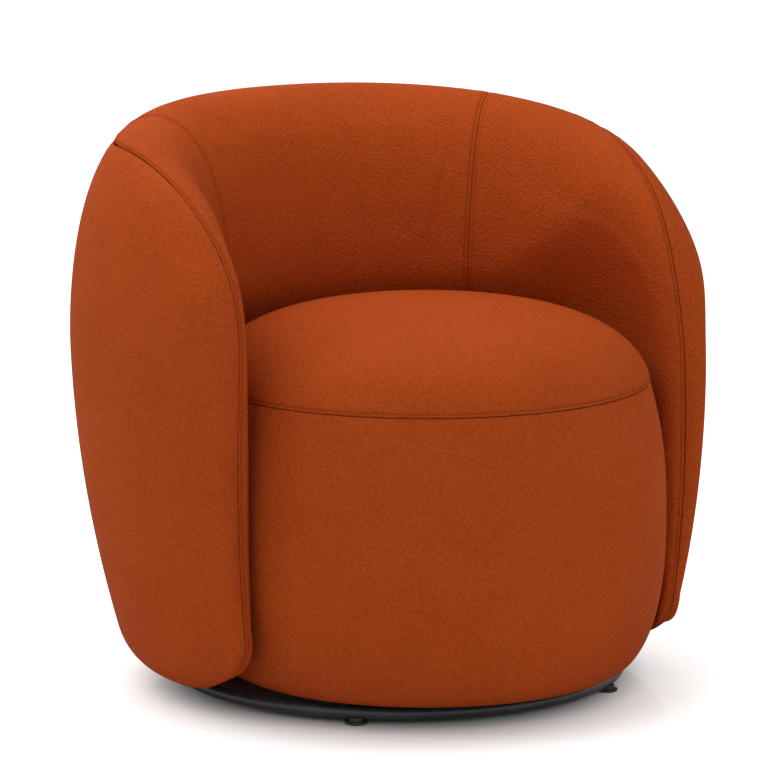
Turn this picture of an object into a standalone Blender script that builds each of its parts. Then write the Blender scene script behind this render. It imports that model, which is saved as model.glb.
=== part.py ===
# Swivel accent chair: a barrel shell of puffed pads round a drum seat, on a ring base.
# Run with: blender --background --python part.py
# Metres, +Z up. The chair faces -Y. The origin is on the floor, under the middle of the chair.

import math

import bmesh
import bpy
import numpy as np
from mathutils import Matrix, Vector

COLLECTION_NAME = "swivel_accent_chair"
CLEARANCE = 0.0003

# Base ring, bars and glides
RING_RADIUS = 0.282
RING_TUBE_DIAMETER = 0.016
GLIDE_HEIGHT = 0.006
GLIDE_NECK_SHARE = 0.72
GLIDE_SHOULDER_SHARES = (0.75, 0.60)
GLIDE_CHAMFER = 0.0012
GLIDE_DIAMETER = 0.028
GLIDE_SADDLE = 0.0025
GLIDE_ANGLE = math.radians(40.0)
BAR_WIDTH = 0.030
BAR_THICKNESS = 0.010

# Swivel bearing
PLATE_SIZE = 0.190
PLATE_THICKNESS = 0.003
PLATE_CORNER_RADIUS = 0.012
PIVOT_DIAMETER = 0.044
PIVOT_CAP_THICKNESS = 0.0015
PIVOT_CAP_OVERHANG = 0.004
PIVOT_FOOT_STEP = 0.006
PIVOT_WALL = 0.003
BALL_DIAMETER = 0.006
BALL_COUNT = 12
BALL_CIRCLE_RADIUS = 0.060
CAGE_WIDTH = 0.014
CAGE_THICKNESS = 0.002
SCREW_DIAMETER = 0.006
SCREW_HEAD_DIAMETER = 0.012
SCREW_HEAD_HEIGHT = 0.0028
SCREW_LENGTH = 0.012
LOWER_SCREW_RADIUS = 0.108
UPPER_SCREW_INSET = 0.014

# Seat drum and cushion
SEAT_RADIUS = 0.306
SEAT_FORWARD = 0.070
SEAM_HEIGHT = 0.396
SEAM_RADIUS = 0.2826
CROWN_HEIGHT = 0.4934
CROWN_SHAPE = (3.14, 0.566)
DRUM_FOOT_RADIUS = 0.244
DRUM_FOOT_HEIGHT = 0.027
DRUM_WIDEST_HEIGHT = 0.225
BAND_THICKNESS = 0.022
BAND_LIP_WIDTH = 0.016
BAND_LIP_HEIGHT = 0.006
BAND_LIP_DRAFT = 0.002
DRUM_FOOT_SHAPE = (3.2, 0.5)
DRUM_TOP_SHAPE = 2.4
SEAT_SEAM_SHARE = 0.8
BAND_ROWS = (1.0, 0.99, 0.965, 0.88, 0.74, 0.58, 0.42, 0.28, 0.16, 0.08, 0.025, 0.0)
BAND_INNER_ROWS = (0.06, 0.3, 0.6, 0.8, 1.0)
CUSHION_ROWS = (0.0, 0.2, 0.4, 0.58, 0.72, 0.83, 0.91, 0.96, 0.985)
CUSHION_EDGE_STEP = (0.0015, 0.006)
CUSHION_EDGE_DEPTH = 0.050
BOARD_THICKNESS = 0.015
DUST_COVER_THICKNESS = 0.0010
DUST_COVER_OPENING_GAP = 0.004
SEAT_RAIL_WIDTH = 0.050
SEAT_RAIL_THICKNESS = 0.018
SEAT_POST_WIDTH = 0.030
SEAT_POST_COUNT = 8
SEAT_POST_INSET = 0.004
SPRING_WIRE_DIAMETER = 0.0036
SPRING_COUNT = 4
SPRING_SPACING = 0.085
SPRING_LOOPS = 6
SPRING_LOOP_WIDTH = 0.036
SPRING_END_HOLD = 0.020

# Barrel shell
SHELL_RADIUS = 0.407
SHELL_WIDEST_HEIGHT = 0.44
SHELL_TAPER = 0.165
SHELL_TAPER_POWER = 2.0
SHELL_LEAN = 0.0648
RIM_HEIGHT = 0.729
RIM_BEND_HEIGHT = 0.39
RIM_POWER_ACROSS = 2.35
RIM_POWER_UP = 3.0
ARM_ANGLE = math.radians(108.2)
SHELL_FOOT_HEIGHT = 0.026
FOOT_DIP = 0.0035
FOOT_DIP_START = math.radians(52.0)
FOOT_RISE = 0.056
FOOT_RISE_START = math.radians(80.0)
FOOT_BEND_START = math.radians(70.0)
FOOT_BEND_END = math.radians(103.0)
FRONT_CORNER_RADIUS = 0.030
FRONT_CORNER_TURN = math.radians(58.0)
CLOSING_DEPTH = 0.060
OUTER_ROLL_DEPTH = 0.262
INNER_ROLL_DEPTH = 0.222
NOSE_ROLL_DEPTH = 0.046
OUTER_FOOT_ROLL_DEPTH = 0.045
NOSE_FOOT_ROLL_DEPTH = 0.080
INNER_FOOT_ROLL_DEPTH = 0.032
FOOT_TUCK = 0.030
OUTER_ROLL_SQUARENESS = 0.05
INNER_ROLL_SQUARENESS = 0.18
INNER_FOOT_SQUARENESS = 0.32
OUTER_FOOT_SQUARENESS = 0.12
SEAT_GAP = 0.0025
BELLY_DEPTH = 0.044
BELLY_START_HEIGHT = 0.39
BELLY_FULL_HEIGHT = 0.50
ARM_BELLY_DEPTH = 0.036
ARM_BELLY_RISE = 0.07
CREST_AT_BACK = 0.48
CREST_AT_NOSE = 0.45
FOOT_CREST_AT_BACK = 0.55
FOOT_CREST_AT_NOSE = 0.36
CREST_CHANGE = (0.40, 0.70)
ROLL_SHARE = 0.55
FOOT_ROLL_SHARE = 0.40
BACK_PAD_ANGLE = math.radians(42.5)
SEAM_AT_BACK = 0.33
SEAM_AT_NOSE = -0.13
SEAM_DRAW = 0.0045
SEAM_HALF_WIDTH = 0.008
SEAM_DRAW_BEHIND = 0.5
SEAM_CHANGE_START = math.radians(38)
SEAM_CHANGE_END = math.radians(80)
PANEL_THICKNESS = 0.008
PAD_THICKNESS = 0.024
ARM_PAD_THICKNESS = 0.012
THIN_WALL = 0.095
THICK_WALL = 0.160
LEAST_THINNING = 0.12
SEAM_ROWS = np.array([0.0004, 0.007, 0.018])
SEAM_ROWS_REACH = 0.5
SEAM_SLANT = 0.4
STATION_SPACING = 1.4
PANEL_ROLL_ROWS = np.array([0.35, 0.7, 1.0])
PANEL_DOWN_ROWS = np.array([1.35, 1.7, 2.0, 2.35, 2.7, 2.9])
PAD_ROLL_ROWS = np.array([0.25, 0.5, 0.75, 1.0])
PAD_DOWN_ROWS = np.array([-1.2, -1.4, -1.7, -2.0, -2.4, -2.7])

# Shell frame
RIB_THICKNESS = 0.015
RIB_CLEARANCE = 0.0015
BASE_RIB_HEIGHT = 0.041
BASE_RIB_ANGLE = math.radians(62.0)
MIDDLE_RIB_HEIGHT = 0.300
MIDDLE_RIB_ANGLE = math.radians(72.0)
TOP_RIB_DROP = 0.144
TOP_RIB_ANGLE = math.radians(42.0)
RIB_STEPS = 10
SHELL_POST_WIDTH = 0.036
SHELL_POST_DEPTH = 0.022
JOINING_BOLT_DIAMETER = 0.008
JOINING_BOLT_HEAD_DIAMETER = 0.016
JOINING_BOLT_HEAD_HEIGHT = 0.005
JOINING_BOLT_HEIGHT = 0.180
JOINING_BOLT_END_GAP = 0.004
SHELL_POST_COUNT = 4

# Facet counts
ROUND_STEPS = 48
RIM_SAMPLES = 400
CORNER_SAMPLES = 40
RING_STEPS = 64
RING_SIDES = 10
ARM_STATIONS = 15
BACK_STATIONS = 16

# Colours as linear RGB, with roughness and metallic
FABRIC = ((0.34, 0.055, 0.014, 1.0), 0.75, 0.0)
BLACK_STEEL = ((0.035, 0.036, 0.038, 1.0), 0.45, 0.6)
ZINC_STEEL = ((0.55, 0.56, 0.58, 1.0), 0.35, 0.9)
BRIGHT_STEEL = ((0.62, 0.63, 0.65, 1.0), 0.25, 1.0)
BLACK_PLASTIC = ((0.02, 0.02, 0.021, 1.0), 0.55, 0.0)
BLACK_CLOTH = ((0.015, 0.015, 0.016, 1.0), 0.9, 0.0)
PLYWOOD = ((0.55, 0.38, 0.21, 1.0), 0.7, 0.0)


# Heights that follow from the stack of the base and the bearing
ring_height = GLIDE_HEIGHT + RING_TUBE_DIAMETER / 2
bar_top = ring_height + BAR_THICKNESS / 2
lower_plate_bottom = bar_top + CLEARANCE
lower_plate_top = lower_plate_bottom + PLATE_THICKNESS
ball_height = lower_plate_top + CLEARANCE + BALL_DIAMETER / 2
upper_plate_bottom = ball_height + BALL_DIAMETER / 2 + CLEARANCE
upper_plate_top = upper_plate_bottom + PLATE_THICKNESS
board_bottom = upper_plate_top + CLEARANCE
board_top = board_bottom + BOARD_THICKNESS
top_rib_height = RIM_HEIGHT - TOP_RIB_DROP


def clear_scene():
    for item in list(bpy.data.objects):
        bpy.data.objects.remove(item, do_unlink=True)


def make_collection(name, hidden):
    collection = bpy.data.collections.new(name)
    bpy.context.scene.collection.children.link(collection)
    collection.hide_render = hidden
    return collection


def make_material(name, look):
    colour, roughness, metallic = look
    material = bpy.data.materials.new(name)
    material.use_nodes = True
    material.diffuse_color = colour
    shader = material.node_tree.nodes["Principled BSDF"]
    shader.inputs["Base Color"].default_value = colour
    shader.inputs["Roughness"].default_value = roughness
    shader.inputs["Metallic"].default_value = metallic
    return material


def add_object(name, data, look, place=(0.0, 0.0, 0.0), smooth=True):
    part = bpy.data.objects.new(name, data)
    part.location = place
    parts.objects.link(part)
    data.materials.append(make_material(name, look))
    if smooth and isinstance(data, bpy.types.Mesh):
        data.shade_smooth()
        data.set_sharp_from_angle(angle=math.radians(40))
    return part


def mesh_from_bmesh(name, shape):
    bmesh.ops.recalc_face_normals(shape, faces=shape.faces)
    data = bpy.data.meshes.new(name)
    shape.to_mesh(data)
    shape.free()
    return data


def add_cutter(name, data, place=(0.0, 0.0, 0.0)):
    cutter = bpy.data.objects.new(name, data)
    cutter.location = place
    cutter.hide_render = True
    cutter.display_type = "WIRE"
    cutters.objects.link(cutter)
    return cutter


def combine(part, other, operation):
    modifier = part.modifiers.new(operation.lower() + "_" + other.name, "BOOLEAN")
    modifier.operation = operation
    modifier.solver = "EXACT"
    modifier.object = other


def turned(name, profile, look, place, steps=ROUND_STEPS, closed=True):
    # The profile runs down its outer side, in the XZ plane, as radius and height.
    shape = bmesh.new()
    corners = [shape.verts.new((radius, 0.0, height)) for radius, height in profile]
    for first, second in zip(corners, corners[1:]):
        shape.edges.new((first, second))
    if closed:
        shape.edges.new((corners[-1], corners[0]))
    data = bpy.data.meshes.new(name)
    shape.to_mesh(data)
    shape.free()
    part = add_object(name, data, look, place, smooth=False)
    screw = part.modifiers.new("turn", "SCREW")
    screw.axis = "Z"
    screw.steps = steps
    screw.render_steps = steps
    screw.use_merge_vertices = True
    screw.merge_threshold = 0.00001
    screw.use_smooth_shade = True
    return part


def flat_plate(name, outlines, bottom, thickness, look, place=(0.0, 0.0, 0.0)):
    # The first outline is the edge of the plate, and the others are its holes.
    data = bpy.data.curves.new(name, "CURVE")
    data.dimensions = "2D"
    data.fill_mode = "BOTH"
    data.extrude = thickness / 2
    for outline in outlines:
        spline = data.splines.new("POLY")
        spline.points.add(len(outline) - 1)
        for point, corner in zip(spline.points, outline):
            point.co = (corner[0], corner[1], 0.0, 1.0)
        spline.use_cyclic_u = True
    middle = bottom + thickness / 2
    return add_object(name, data, look, (place[0], place[1], place[2] + middle))


def cylinder_mesh(name, radius, bottom, top, sides):
    shape = bmesh.new()
    bmesh.ops.create_cone(shape, cap_ends=True, segments=sides, radius1=radius, radius2=radius,
                          depth=top - bottom)
    bmesh.ops.translate(shape, verts=shape.verts, vec=(0.0, 0.0, (top + bottom) / 2))
    return mesh_from_bmesh(name, shape)


def screw_mesh(name, radius, length, head_radius, head_height, sides=12):
    # A stepped shank and head along +Z, with its head's bearing face at the origin.
    shape = bmesh.new()
    bmesh.ops.create_cone(shape, cap_ends=True, segments=sides, radius1=head_radius,
                          radius2=head_radius, depth=head_height)
    bmesh.ops.translate(shape, verts=shape.verts, vec=(0.0, 0.0, -head_height / 2))
    top = max(shape.faces, key=lambda face: face.calc_center_median().z)
    bmesh.ops.inset_individual(shape, faces=[top], thickness=head_radius - radius)
    raised = bmesh.ops.extrude_face_region(shape, geom=[top])
    tip = [item for item in raised["geom"] if isinstance(item, bmesh.types.BMVert)]
    bmesh.ops.translate(shape, verts=tip, vec=(0.0, 0.0, length))
    bmesh.ops.delete(shape, geom=[top], context="FACES")
    return mesh_from_bmesh(name, shape)


def circle_points(radius, count, centre=(0.0, 0.0), start=0.0):
    points = []
    for step in range(count):
        turn = start + 2 * math.pi * step / count
        points.append((centre[0] + radius * math.cos(turn), centre[1] + radius * math.sin(turn)))
    return points


def rounded_square(size, corner, steps=4, turn=0.0):
    points = []
    reach = size / 2 - corner
    for quarter, (sign_x, sign_y) in enumerate([(1, 1), (-1, 1), (-1, -1), (1, -1)]):
        for step in range(steps + 1):
            angle = math.pi / 2 * (quarter + step / steps)
            points.append(Vector((sign_x * reach + corner * math.cos(angle),
                                  sign_y * reach + corner * math.sin(angle))))
    spin = Matrix.Rotation(turn, 2)
    return [tuple(spin @ point) for point in points]


# Shell surface. A station s runs from -1 at the left arm's foot, over the back at 0, to 1 at the
# right arm's foot. A place c across the wall is 0 on the rim, positive outside and negative
# inside, 1 where the roll ends, 2 where the foot's roll starts and 3 under the wall.

def smooth_step(low, high, value):
    share = np.clip((value - low) / (high - low), 0.0, 1.0)
    return share * share * (3 - 2 * share)


def foot_height(angle):
    # The shell's lower edge dips at the arms, then rises towards the nose.
    dip = FOOT_DIP * smooth_step(FOOT_DIP_START, FOOT_RISE_START, angle)
    share = np.clip((angle - FOOT_RISE_START) / (ARM_ANGLE - FOOT_RISE_START), 0.0, 1.0)
    return SHELL_FOOT_HEIGHT - dip + FOOT_RISE * share ** 2


def make_rim():
    turn = np.linspace(0.0, math.pi / 2, RIM_SAMPLES)
    angle = ARM_ANGLE * np.sin(turn) ** (2 / RIM_POWER_ACROSS)
    rise = RIM_HEIGHT - RIM_BEND_HEIGHT
    height = RIM_BEND_HEIGHT + rise * np.cos(turn) ** (2 / RIM_POWER_UP)
    arc = np.linspace(0.0, FRONT_CORNER_TURN, CORNER_SAMPLES)
    arc_angle = ARM_ANGLE - FRONT_CORNER_RADIUS / wall_middle_radius * (1 - np.cos(arc))
    arc_height = foot_height(arc_angle) + FRONT_CORNER_RADIUS * (1 - np.sin(arc))
    angle = np.concatenate([angle, arc_angle])
    height = np.concatenate([height, arc_height])
    run = np.hypot(np.diff(angle) * wall_middle_radius, np.diff(height))
    length = np.concatenate([[0.0], np.cumsum(run)])
    return angle, height, length


wall_middle_radius = (SEAT_RADIUS + SHELL_RADIUS) / 2
rim_angle, rim_height, rim_length = make_rim()
foot_end_angle = float(rim_angle[-1])
foot_power = float(rim_length[-1] / (wall_middle_radius * foot_end_angle))


def shell_centre_forward(height):
    # How far the shell's centre lies in front of the swivel axis: it moves back with height.
    return -SHELL_LEAN * height


def outer_radius(angle, height):
    share = np.clip((SHELL_WIDEST_HEIGHT - height) / SHELL_WIDEST_HEIGHT, 0.0, 1.0)
    radius = SHELL_RADIUS * (1 - SHELL_TAPER * share ** SHELL_TAPER_POWER)
    level = np.minimum(height, SHELL_WIDEST_HEIGHT)
    offset = SEAT_FORWARD - shell_centre_forward(level)
    return offset * np.cos(angle) + np.sqrt(radius ** 2 - (offset * np.sin(angle)) ** 2)


def inner_radius(angle, height):
    wall = SEAT_RADIUS + SEAT_GAP
    arm = smooth_step(math.radians(45), math.radians(100), np.abs(angle))
    depth = BELLY_DEPTH + (ARM_BELLY_DEPTH - BELLY_DEPTH) * arm
    level = height - ARM_BELLY_RISE * arm
    belly = depth * smooth_step(BELLY_START_HEIGHT, BELLY_FULL_HEIGHT, level)
    foot = SHELL_FOOT_HEIGHT + INNER_FOOT_ROLL_DEPTH
    tuck = FOOT_TUCK * np.clip((foot - height) / INNER_FOOT_ROLL_DEPTH, 0.0, 1.0) ** 2
    return wall - belly - tuck


def shell_surface(station, place):
    # Radial planes stand on the seat's axis, so the wall hugs the round seat.
    share = np.clip(np.abs(station), 0.0, 1.0)
    side = np.sign(station)
    run = share * rim_length[-1]
    top_angle = np.interp(run, rim_length, rim_angle)
    top_height = np.interp(run, rim_length, rim_height)
    foot_angle = foot_end_angle * (1 - (1 - share) ** foot_power)
    across = (foot_angle - top_angle) * wall_middle_radius
    drop = top_height - foot_height(foot_angle)
    depth = np.hypot(across, drop)

    bend = smooth_step(math.radians(60), math.radians(104), top_angle)
    outer_bend = smooth_step(math.radians(76), math.radians(107), top_angle)
    inner_bend = smooth_step(math.radians(42), math.radians(88), top_angle)
    outer_roll = OUTER_ROLL_DEPTH + (NOSE_ROLL_DEPTH - OUTER_ROLL_DEPTH) * outer_bend
    inner_roll = INNER_ROLL_DEPTH + (NOSE_ROLL_DEPTH - INNER_ROLL_DEPTH) * inner_bend
    roll = np.where(place >= 0, outer_roll, inner_roll)
    roll = np.minimum(roll, ROLL_SHARE * depth)
    foot_bend = smooth_step(FOOT_BEND_START, FOOT_BEND_END, foot_angle)
    outer_foot = OUTER_FOOT_ROLL_DEPTH + (NOSE_FOOT_ROLL_DEPTH - OUTER_FOOT_ROLL_DEPTH) * foot_bend
    foot = np.where(place >= 0, outer_foot, INNER_FOOT_ROLL_DEPTH)
    foot = np.minimum(foot, FOOT_ROLL_SHARE * depth)

    c = np.abs(place)
    rim_turn = np.clip(c, 0.0, 1.0) * math.pi / 2
    foot_turn = np.clip(3.0 - c, 0.0, 1.0) * math.pi / 2
    straight = np.clip(c - 1.0, 0.0, 1.0)
    travel = roll * (1 - np.cos(rim_turn)) + (depth - roll - foot) * straight
    travel = travel + foot * np.where(c > 2.0, np.cos(foot_turn), 0.0)
    squareness = np.where(place >= 0, OUTER_ROLL_SQUARENESS, INNER_ROLL_SQUARENESS)
    fullness = np.sin(rim_turn) * (1 + squareness * np.cos(rim_turn) ** 2)
    squareness = np.where(place >= 0, OUTER_FOOT_SQUARENESS, INNER_FOOT_SQUARENESS)
    under = np.sin(foot_turn) * (1 + squareness * np.cos(foot_turn) ** 2)
    closing = np.clip(1 - depth / CLOSING_DEPTH, 0.0, 1.0)
    fullness = fullness * under * np.sqrt(1 - closing ** 2)

    along = travel / depth
    angle = top_angle + (foot_angle - top_angle) * along
    height = top_height - drop * along
    outer = outer_radius(angle, height)
    inner = inner_radius(angle, height)
    rim_crest = CREST_AT_BACK + (CREST_AT_NOSE - CREST_AT_BACK) * bend
    foot_crest = FOOT_CREST_AT_BACK + (FOOT_CREST_AT_NOSE - FOOT_CREST_AT_BACK) * foot_bend
    crest_share = rim_crest + (foot_crest - rim_crest) * smooth_step(*CREST_CHANGE, along)
    crest = inner + crest_share * (outer - inner)
    radius = np.where(place >= 0, crest + (outer - crest) * fullness,
                      crest - (crest - inner) * fullness)
    x = side * radius * np.sin(angle)
    y = seat_y + radius * np.cos(angle)
    return np.stack([x, y, height], axis=-1)


def shell_normal(station, place):
    small = 0.002
    along = shell_surface(station + small, place) - shell_surface(station - small, place)
    across = shell_surface(station, place + small) - shell_surface(station, place - small)
    normal = np.cross(along, across)
    length = np.linalg.norm(normal, axis=-1, keepdims=True)
    return normal / np.maximum(length, 1e-9)


def seam_place(station):
    run = np.abs(station) * rim_length[-1]
    angle = np.interp(run, rim_length, rim_angle)
    blend = smooth_step(SEAM_CHANGE_START, SEAM_CHANGE_END, angle)
    return SEAM_AT_BACK + (SEAM_AT_NOSE - SEAM_AT_BACK) * blend


def rows_beside_seam(scale):
    # Seam rows in units of place; where the wall is small they keep within a share of its roll.
    return SEAM_ROWS[None, :] / np.maximum(scale, SEAM_ROWS[-1] / SEAM_ROWS_REACH)[:, None]


def across_scale(station, place):
    small = 0.01
    step = shell_surface(station, place + small) - shell_surface(station, place - small)
    return np.linalg.norm(step, axis=-1) / (2 * small)


def along_scale(station, place):
    small = 0.004
    step = shell_surface(station + small, place) - shell_surface(station - small, place)
    return np.linalg.norm(step, axis=-1) / (2 * small)


def station_of_angle(angle):
    return float(np.interp(angle, rim_angle[:RIM_SAMPLES], rim_length[:RIM_SAMPLES]) / rim_length[-1])


def sheet_from_surface(name, stations, places, seam_pull, thickness, look):
    # stations and places are grids. The back face lies in along the normal, and its first row,
    # beside the seam, stands off from the neighbour's.
    front = shell_surface(stations, places) - shell_normal(stations, places) * seam_pull[..., None]
    behind = places.copy()
    behind[:, 0] += SEAM_SLANT * (places[:, 1] - places[:, 0])
    depth = thickness + seam_pull * SEAM_DRAW_BEHIND
    back = shell_surface(stations, behind) - shell_normal(stations, behind) * depth[..., None]
    return sheet_between(name, front, back, look), back


def sheet_between(name, front, back, look):
    rows, columns = front.shape[:2]
    shape = bmesh.new()
    front_verts = [[shape.verts.new(front[i, j]) for j in range(columns)] for i in range(rows)]
    back_verts = [[shape.verts.new(back[i, j]) for j in range(columns)] for i in range(rows)]
    for i in range(rows - 1):
        for j in range(columns - 1):
            shape.faces.new((front_verts[i][j], front_verts[i + 1][j],
                             front_verts[i + 1][j + 1], front_verts[i][j + 1]))
            shape.faces.new((back_verts[i][j + 1], back_verts[i + 1][j + 1],
                             back_verts[i + 1][j], back_verts[i][j]))
    for i in range(rows - 1):
        for j in (0, columns - 1):
            shape.faces.new((front_verts[i][j], back_verts[i][j],
                             back_verts[i + 1][j], front_verts[i + 1][j]))
    for j in range(columns - 1):
        for i in (0, rows - 1):
            shape.faces.new((front_verts[i][j], front_verts[i][j + 1],
                             back_verts[i][j + 1], back_verts[i][j]))
    return add_object(name, mesh_from_bmesh(name, shape), look)


def edge_pull(distance):
    # How far cloth is drawn in at a given distance from a seam.
    return SEAM_DRAW * np.exp(-(distance / SEAM_HALF_WIDTH) ** 2)


def wall_size_at(stations, places):
    # The smaller of the wall's thickness and its height along a station.
    outer = shell_surface(stations, np.ones_like(places))
    inner = shell_surface(stations, -np.ones_like(places))
    rim = shell_surface(stations, np.zeros_like(places))
    foot = shell_surface(stations, 3.0 * np.ones_like(places))
    thickness = np.linalg.norm(outer - inner, axis=-1)
    return np.minimum(thickness, np.linalg.norm(rim - foot, axis=-1))


def arm_stations(split):
    # Stations of the right arm's pad, closer together beside its seam with the back pad.
    near = SEAM_ROWS / along_scale(np.array(split), np.array(-0.5))
    rest = np.linspace(split, 1.0, ARM_STATIONS + 1)
    return np.concatenate([split + near, rest[rest > split + STATION_SPACING * near[-1]]])


def back_stations(split):
    near = SEAM_ROWS / along_scale(np.array(split), np.array(-0.5))
    rest = np.linspace(-split, split, BACK_STATIONS + 1)
    rest = rest[np.abs(rest) < split - STATION_SPACING * near[-1]]
    return np.concatenate([-split + near, rest, (split - near)[::-1]])


def make_outer_panel(split):
    right = arm_stations(split)
    stations = np.concatenate([-right[::-1], back_stations(split), right])
    seam = seam_place(stations)
    scale = across_scale(stations, seam)
    rows_near = seam[:, None] + rows_beside_seam(scale)
    start = rows_near[:, -1:]
    rows_roll = start + (1.0 - start) * PANEL_ROLL_ROWS[None, :]
    rows_down = PANEL_DOWN_ROWS[None, :] + np.zeros_like(start)
    places = np.concatenate([rows_near, rows_roll, rows_down], axis=1)
    grid = np.broadcast_to(stations[:, None], places.shape)
    pull = edge_pull((places - seam[:, None]) * scale[:, None])
    thickness = PANEL_THICKNESS * np.clip(wall_size_at(grid, places) / THIN_WALL, LEAST_THINNING, 1.0)
    return sheet_from_surface("outer_panel", grid, places, pull, thickness, FABRIC)[1]


def make_pad(name, stations, side_seams):
    seam = seam_place(stations)
    scale = across_scale(stations, seam)
    rows_near = seam[:, None] - rows_beside_seam(scale)
    begin = rows_near[:, -1:]
    rows_roll = begin + (-1.0 - begin) * PAD_ROLL_ROWS[None, :]
    rows_down = PAD_DOWN_ROWS[None, :] + np.zeros_like(begin)
    places = np.concatenate([rows_near, rows_roll, rows_down], axis=1)
    grid = np.broadcast_to(stations[:, None], places.shape)
    pull = edge_pull((seam[:, None] - places) * scale[:, None])
    for side_seam in side_seams:
        pull = np.maximum(pull, edge_pull((grid - side_seam) * along_scale(grid, places)))
    wall = wall_size_at(grid, places)
    extra = (PAD_THICKNESS - ARM_PAD_THICKNESS) * smooth_step(THIN_WALL, THICK_WALL, wall)
    thickness = (ARM_PAD_THICKNESS + extra) * np.clip(wall / THIN_WALL, LEAST_THINNING, 1.0)
    return sheet_from_surface(name, grid, places, pull, thickness, FABRIC)


def make_base_ring():
    profile = []
    for corner in circle_points(RING_TUBE_DIAMETER / 2, RING_SIDES, start=math.pi / RING_SIDES):
        profile.append((RING_RADIUS + corner[0], ring_height + corner[1]))
    turned("base_ring", profile[::-1], BLACK_STEEL, (0.0, axis_y, 0.0), steps=RING_STEPS)


def bar_end(reach, side):
    # The end of a bar follows the ring, from one corner of the bar to the other.
    spread = math.asin(BAR_WIDTH / 2 / reach)
    points = []
    for share in (-1.0, -0.5, 0.0, 0.5, 1.0):
        turn = share * spread
        points.append((side * reach * math.cos(turn), side * reach * math.sin(turn)))
    return points


def make_bar(name, outline, hole_places, turn):
    hole = SCREW_DIAMETER / 2 + CLEARANCE
    outlines = [outline] + [circle_points(hole, 12, (x, 0.0)) for x in hole_places]
    spin = Matrix.Rotation(turn, 2)
    outlines = [[tuple(spin @ Vector(point)) for point in line] for line in outlines]
    bottom = ring_height - BAR_THICKNESS / 2
    flat_plate(name, outlines, bottom, BAR_THICKNESS, BLACK_STEEL, (0.0, axis_y, 0.0))


def make_base_bars():
    # One bar runs right across the ring, and two half bars meet its sides.
    reach = (RING_RADIUS - RING_TUBE_DIAMETER / 2) * math.cos(math.pi / RING_STEPS) - CLEARANCE
    half = BAR_WIDTH / 2
    turn = math.pi / 2 - GLIDE_ANGLE
    screw = LOWER_SCREW_RADIUS
    make_bar("base_bar", bar_end(reach, 1) + bar_end(reach, -1), (-screw, screw), turn)
    cross = math.pi - 2 * turn
    near = (half + CLEARANCE + half * math.cos(cross)) / math.sin(cross)
    far = (half + CLEARANCE - half * math.cos(cross)) / math.sin(cross)
    right = [(near, -half)] + bar_end(reach, 1) + [(far, half)]
    left = [(-near, half)] + bar_end(reach, -1) + [(-far, -half)]
    make_bar("base_half_bar_right", right, (screw,), -turn)
    make_bar("base_half_bar_left", left, (-screw,), -turn)


def glide_places():
    places = []
    for turn in (GLIDE_ANGLE, math.pi - GLIDE_ANGLE, math.pi + GLIDE_ANGLE, -GLIDE_ANGLE):
        places.append((RING_RADIUS * math.sin(turn), axis_y - RING_RADIUS * math.cos(turn)))
    return places


def make_glides():
    names = ("glide_front_right", "glide_back_right", "glide_back_left", "glide_front_left")
    radius = GLIDE_DIAMETER / 2
    neck = radius * GLIDE_NECK_SHARE
    shoulder = [GLIDE_HEIGHT * share for share in GLIDE_SHOULDER_SHARES]
    top = GLIDE_HEIGHT + GLIDE_SADDLE
    profile = [(RING_RADIUS + x, ring_height + y)
               for x, y in circle_points(RING_TUBE_DIAMETER / 2 + CLEARANCE, 24)]
    cutter = turned("ring_saddle", profile[::-1], BLACK_STEEL, (0.0, axis_y, 0.0), steps=RING_STEPS)
    parts.objects.unlink(cutter)
    cutters.objects.link(cutter)
    cutter.hide_render = True
    cutter.display_type = "WIRE"
    for name, (x, y) in zip(names, glide_places()):
        outline = [(0.0, top), (neck, top), (neck, shoulder[0]), (radius, shoulder[1]),
                   (radius, GLIDE_CHAMFER), (radius - GLIDE_CHAMFER, 0.0), (0.0, 0.0)]
        glide = turned(name, outline, BLACK_PLASTIC, (x, y, 0.0), steps=20, closed=False)
        combine(glide, cutter, "DIFFERENCE")


def make_lower_plate():
    hole = SCREW_DIAMETER / 2 + CLEARANCE
    outlines = [rounded_square(PLATE_SIZE, PLATE_CORNER_RADIUS)]
    for x, y in lower_screw_places():
        outlines.append(circle_points(hole, 12, (x, y)))
    outlines.append(circle_points(PIVOT_DIAMETER / 2 - PIVOT_FOOT_STEP, 32))
    flat_plate("swivel_lower_plate", outlines, lower_plate_bottom, PLATE_THICKNESS,
               ZINC_STEEL, (0.0, axis_y, 0.0))


def make_pivot():
    collar = PIVOT_DIAMETER / 2
    foot = collar - PIVOT_FOOT_STEP - CLEARANCE
    bore = foot - PIVOT_WALL
    cap = collar + PIVOT_CAP_OVERHANG
    cap_bottom = upper_plate_top + CLEARANCE
    cap_top = cap_bottom + PIVOT_CAP_THICKNESS
    step = lower_plate_top + CLEARANCE
    bottom = lower_plate_bottom + CLEARANCE
    profile = [(bore, cap_top), (cap, cap_top), (cap, cap_bottom), (collar, cap_bottom),
               (collar, step), (foot, step), (foot, bottom), (bore, bottom)]
    turned("swivel_pivot", profile, ZINC_STEEL, (0.0, axis_y, 0.0), steps=32)


def lower_screw_places():
    places = []
    for turn in (GLIDE_ANGLE, math.pi - GLIDE_ANGLE, math.pi + GLIDE_ANGLE, -GLIDE_ANGLE):
        places.append((LOWER_SCREW_RADIUS * math.sin(turn), -LOWER_SCREW_RADIUS * math.cos(turn)))
    return places


def upper_screw_places():
    reach = math.sqrt(2) * (PLATE_SIZE / 2 - UPPER_SCREW_INSET)
    return circle_points(reach, 4)


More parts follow.
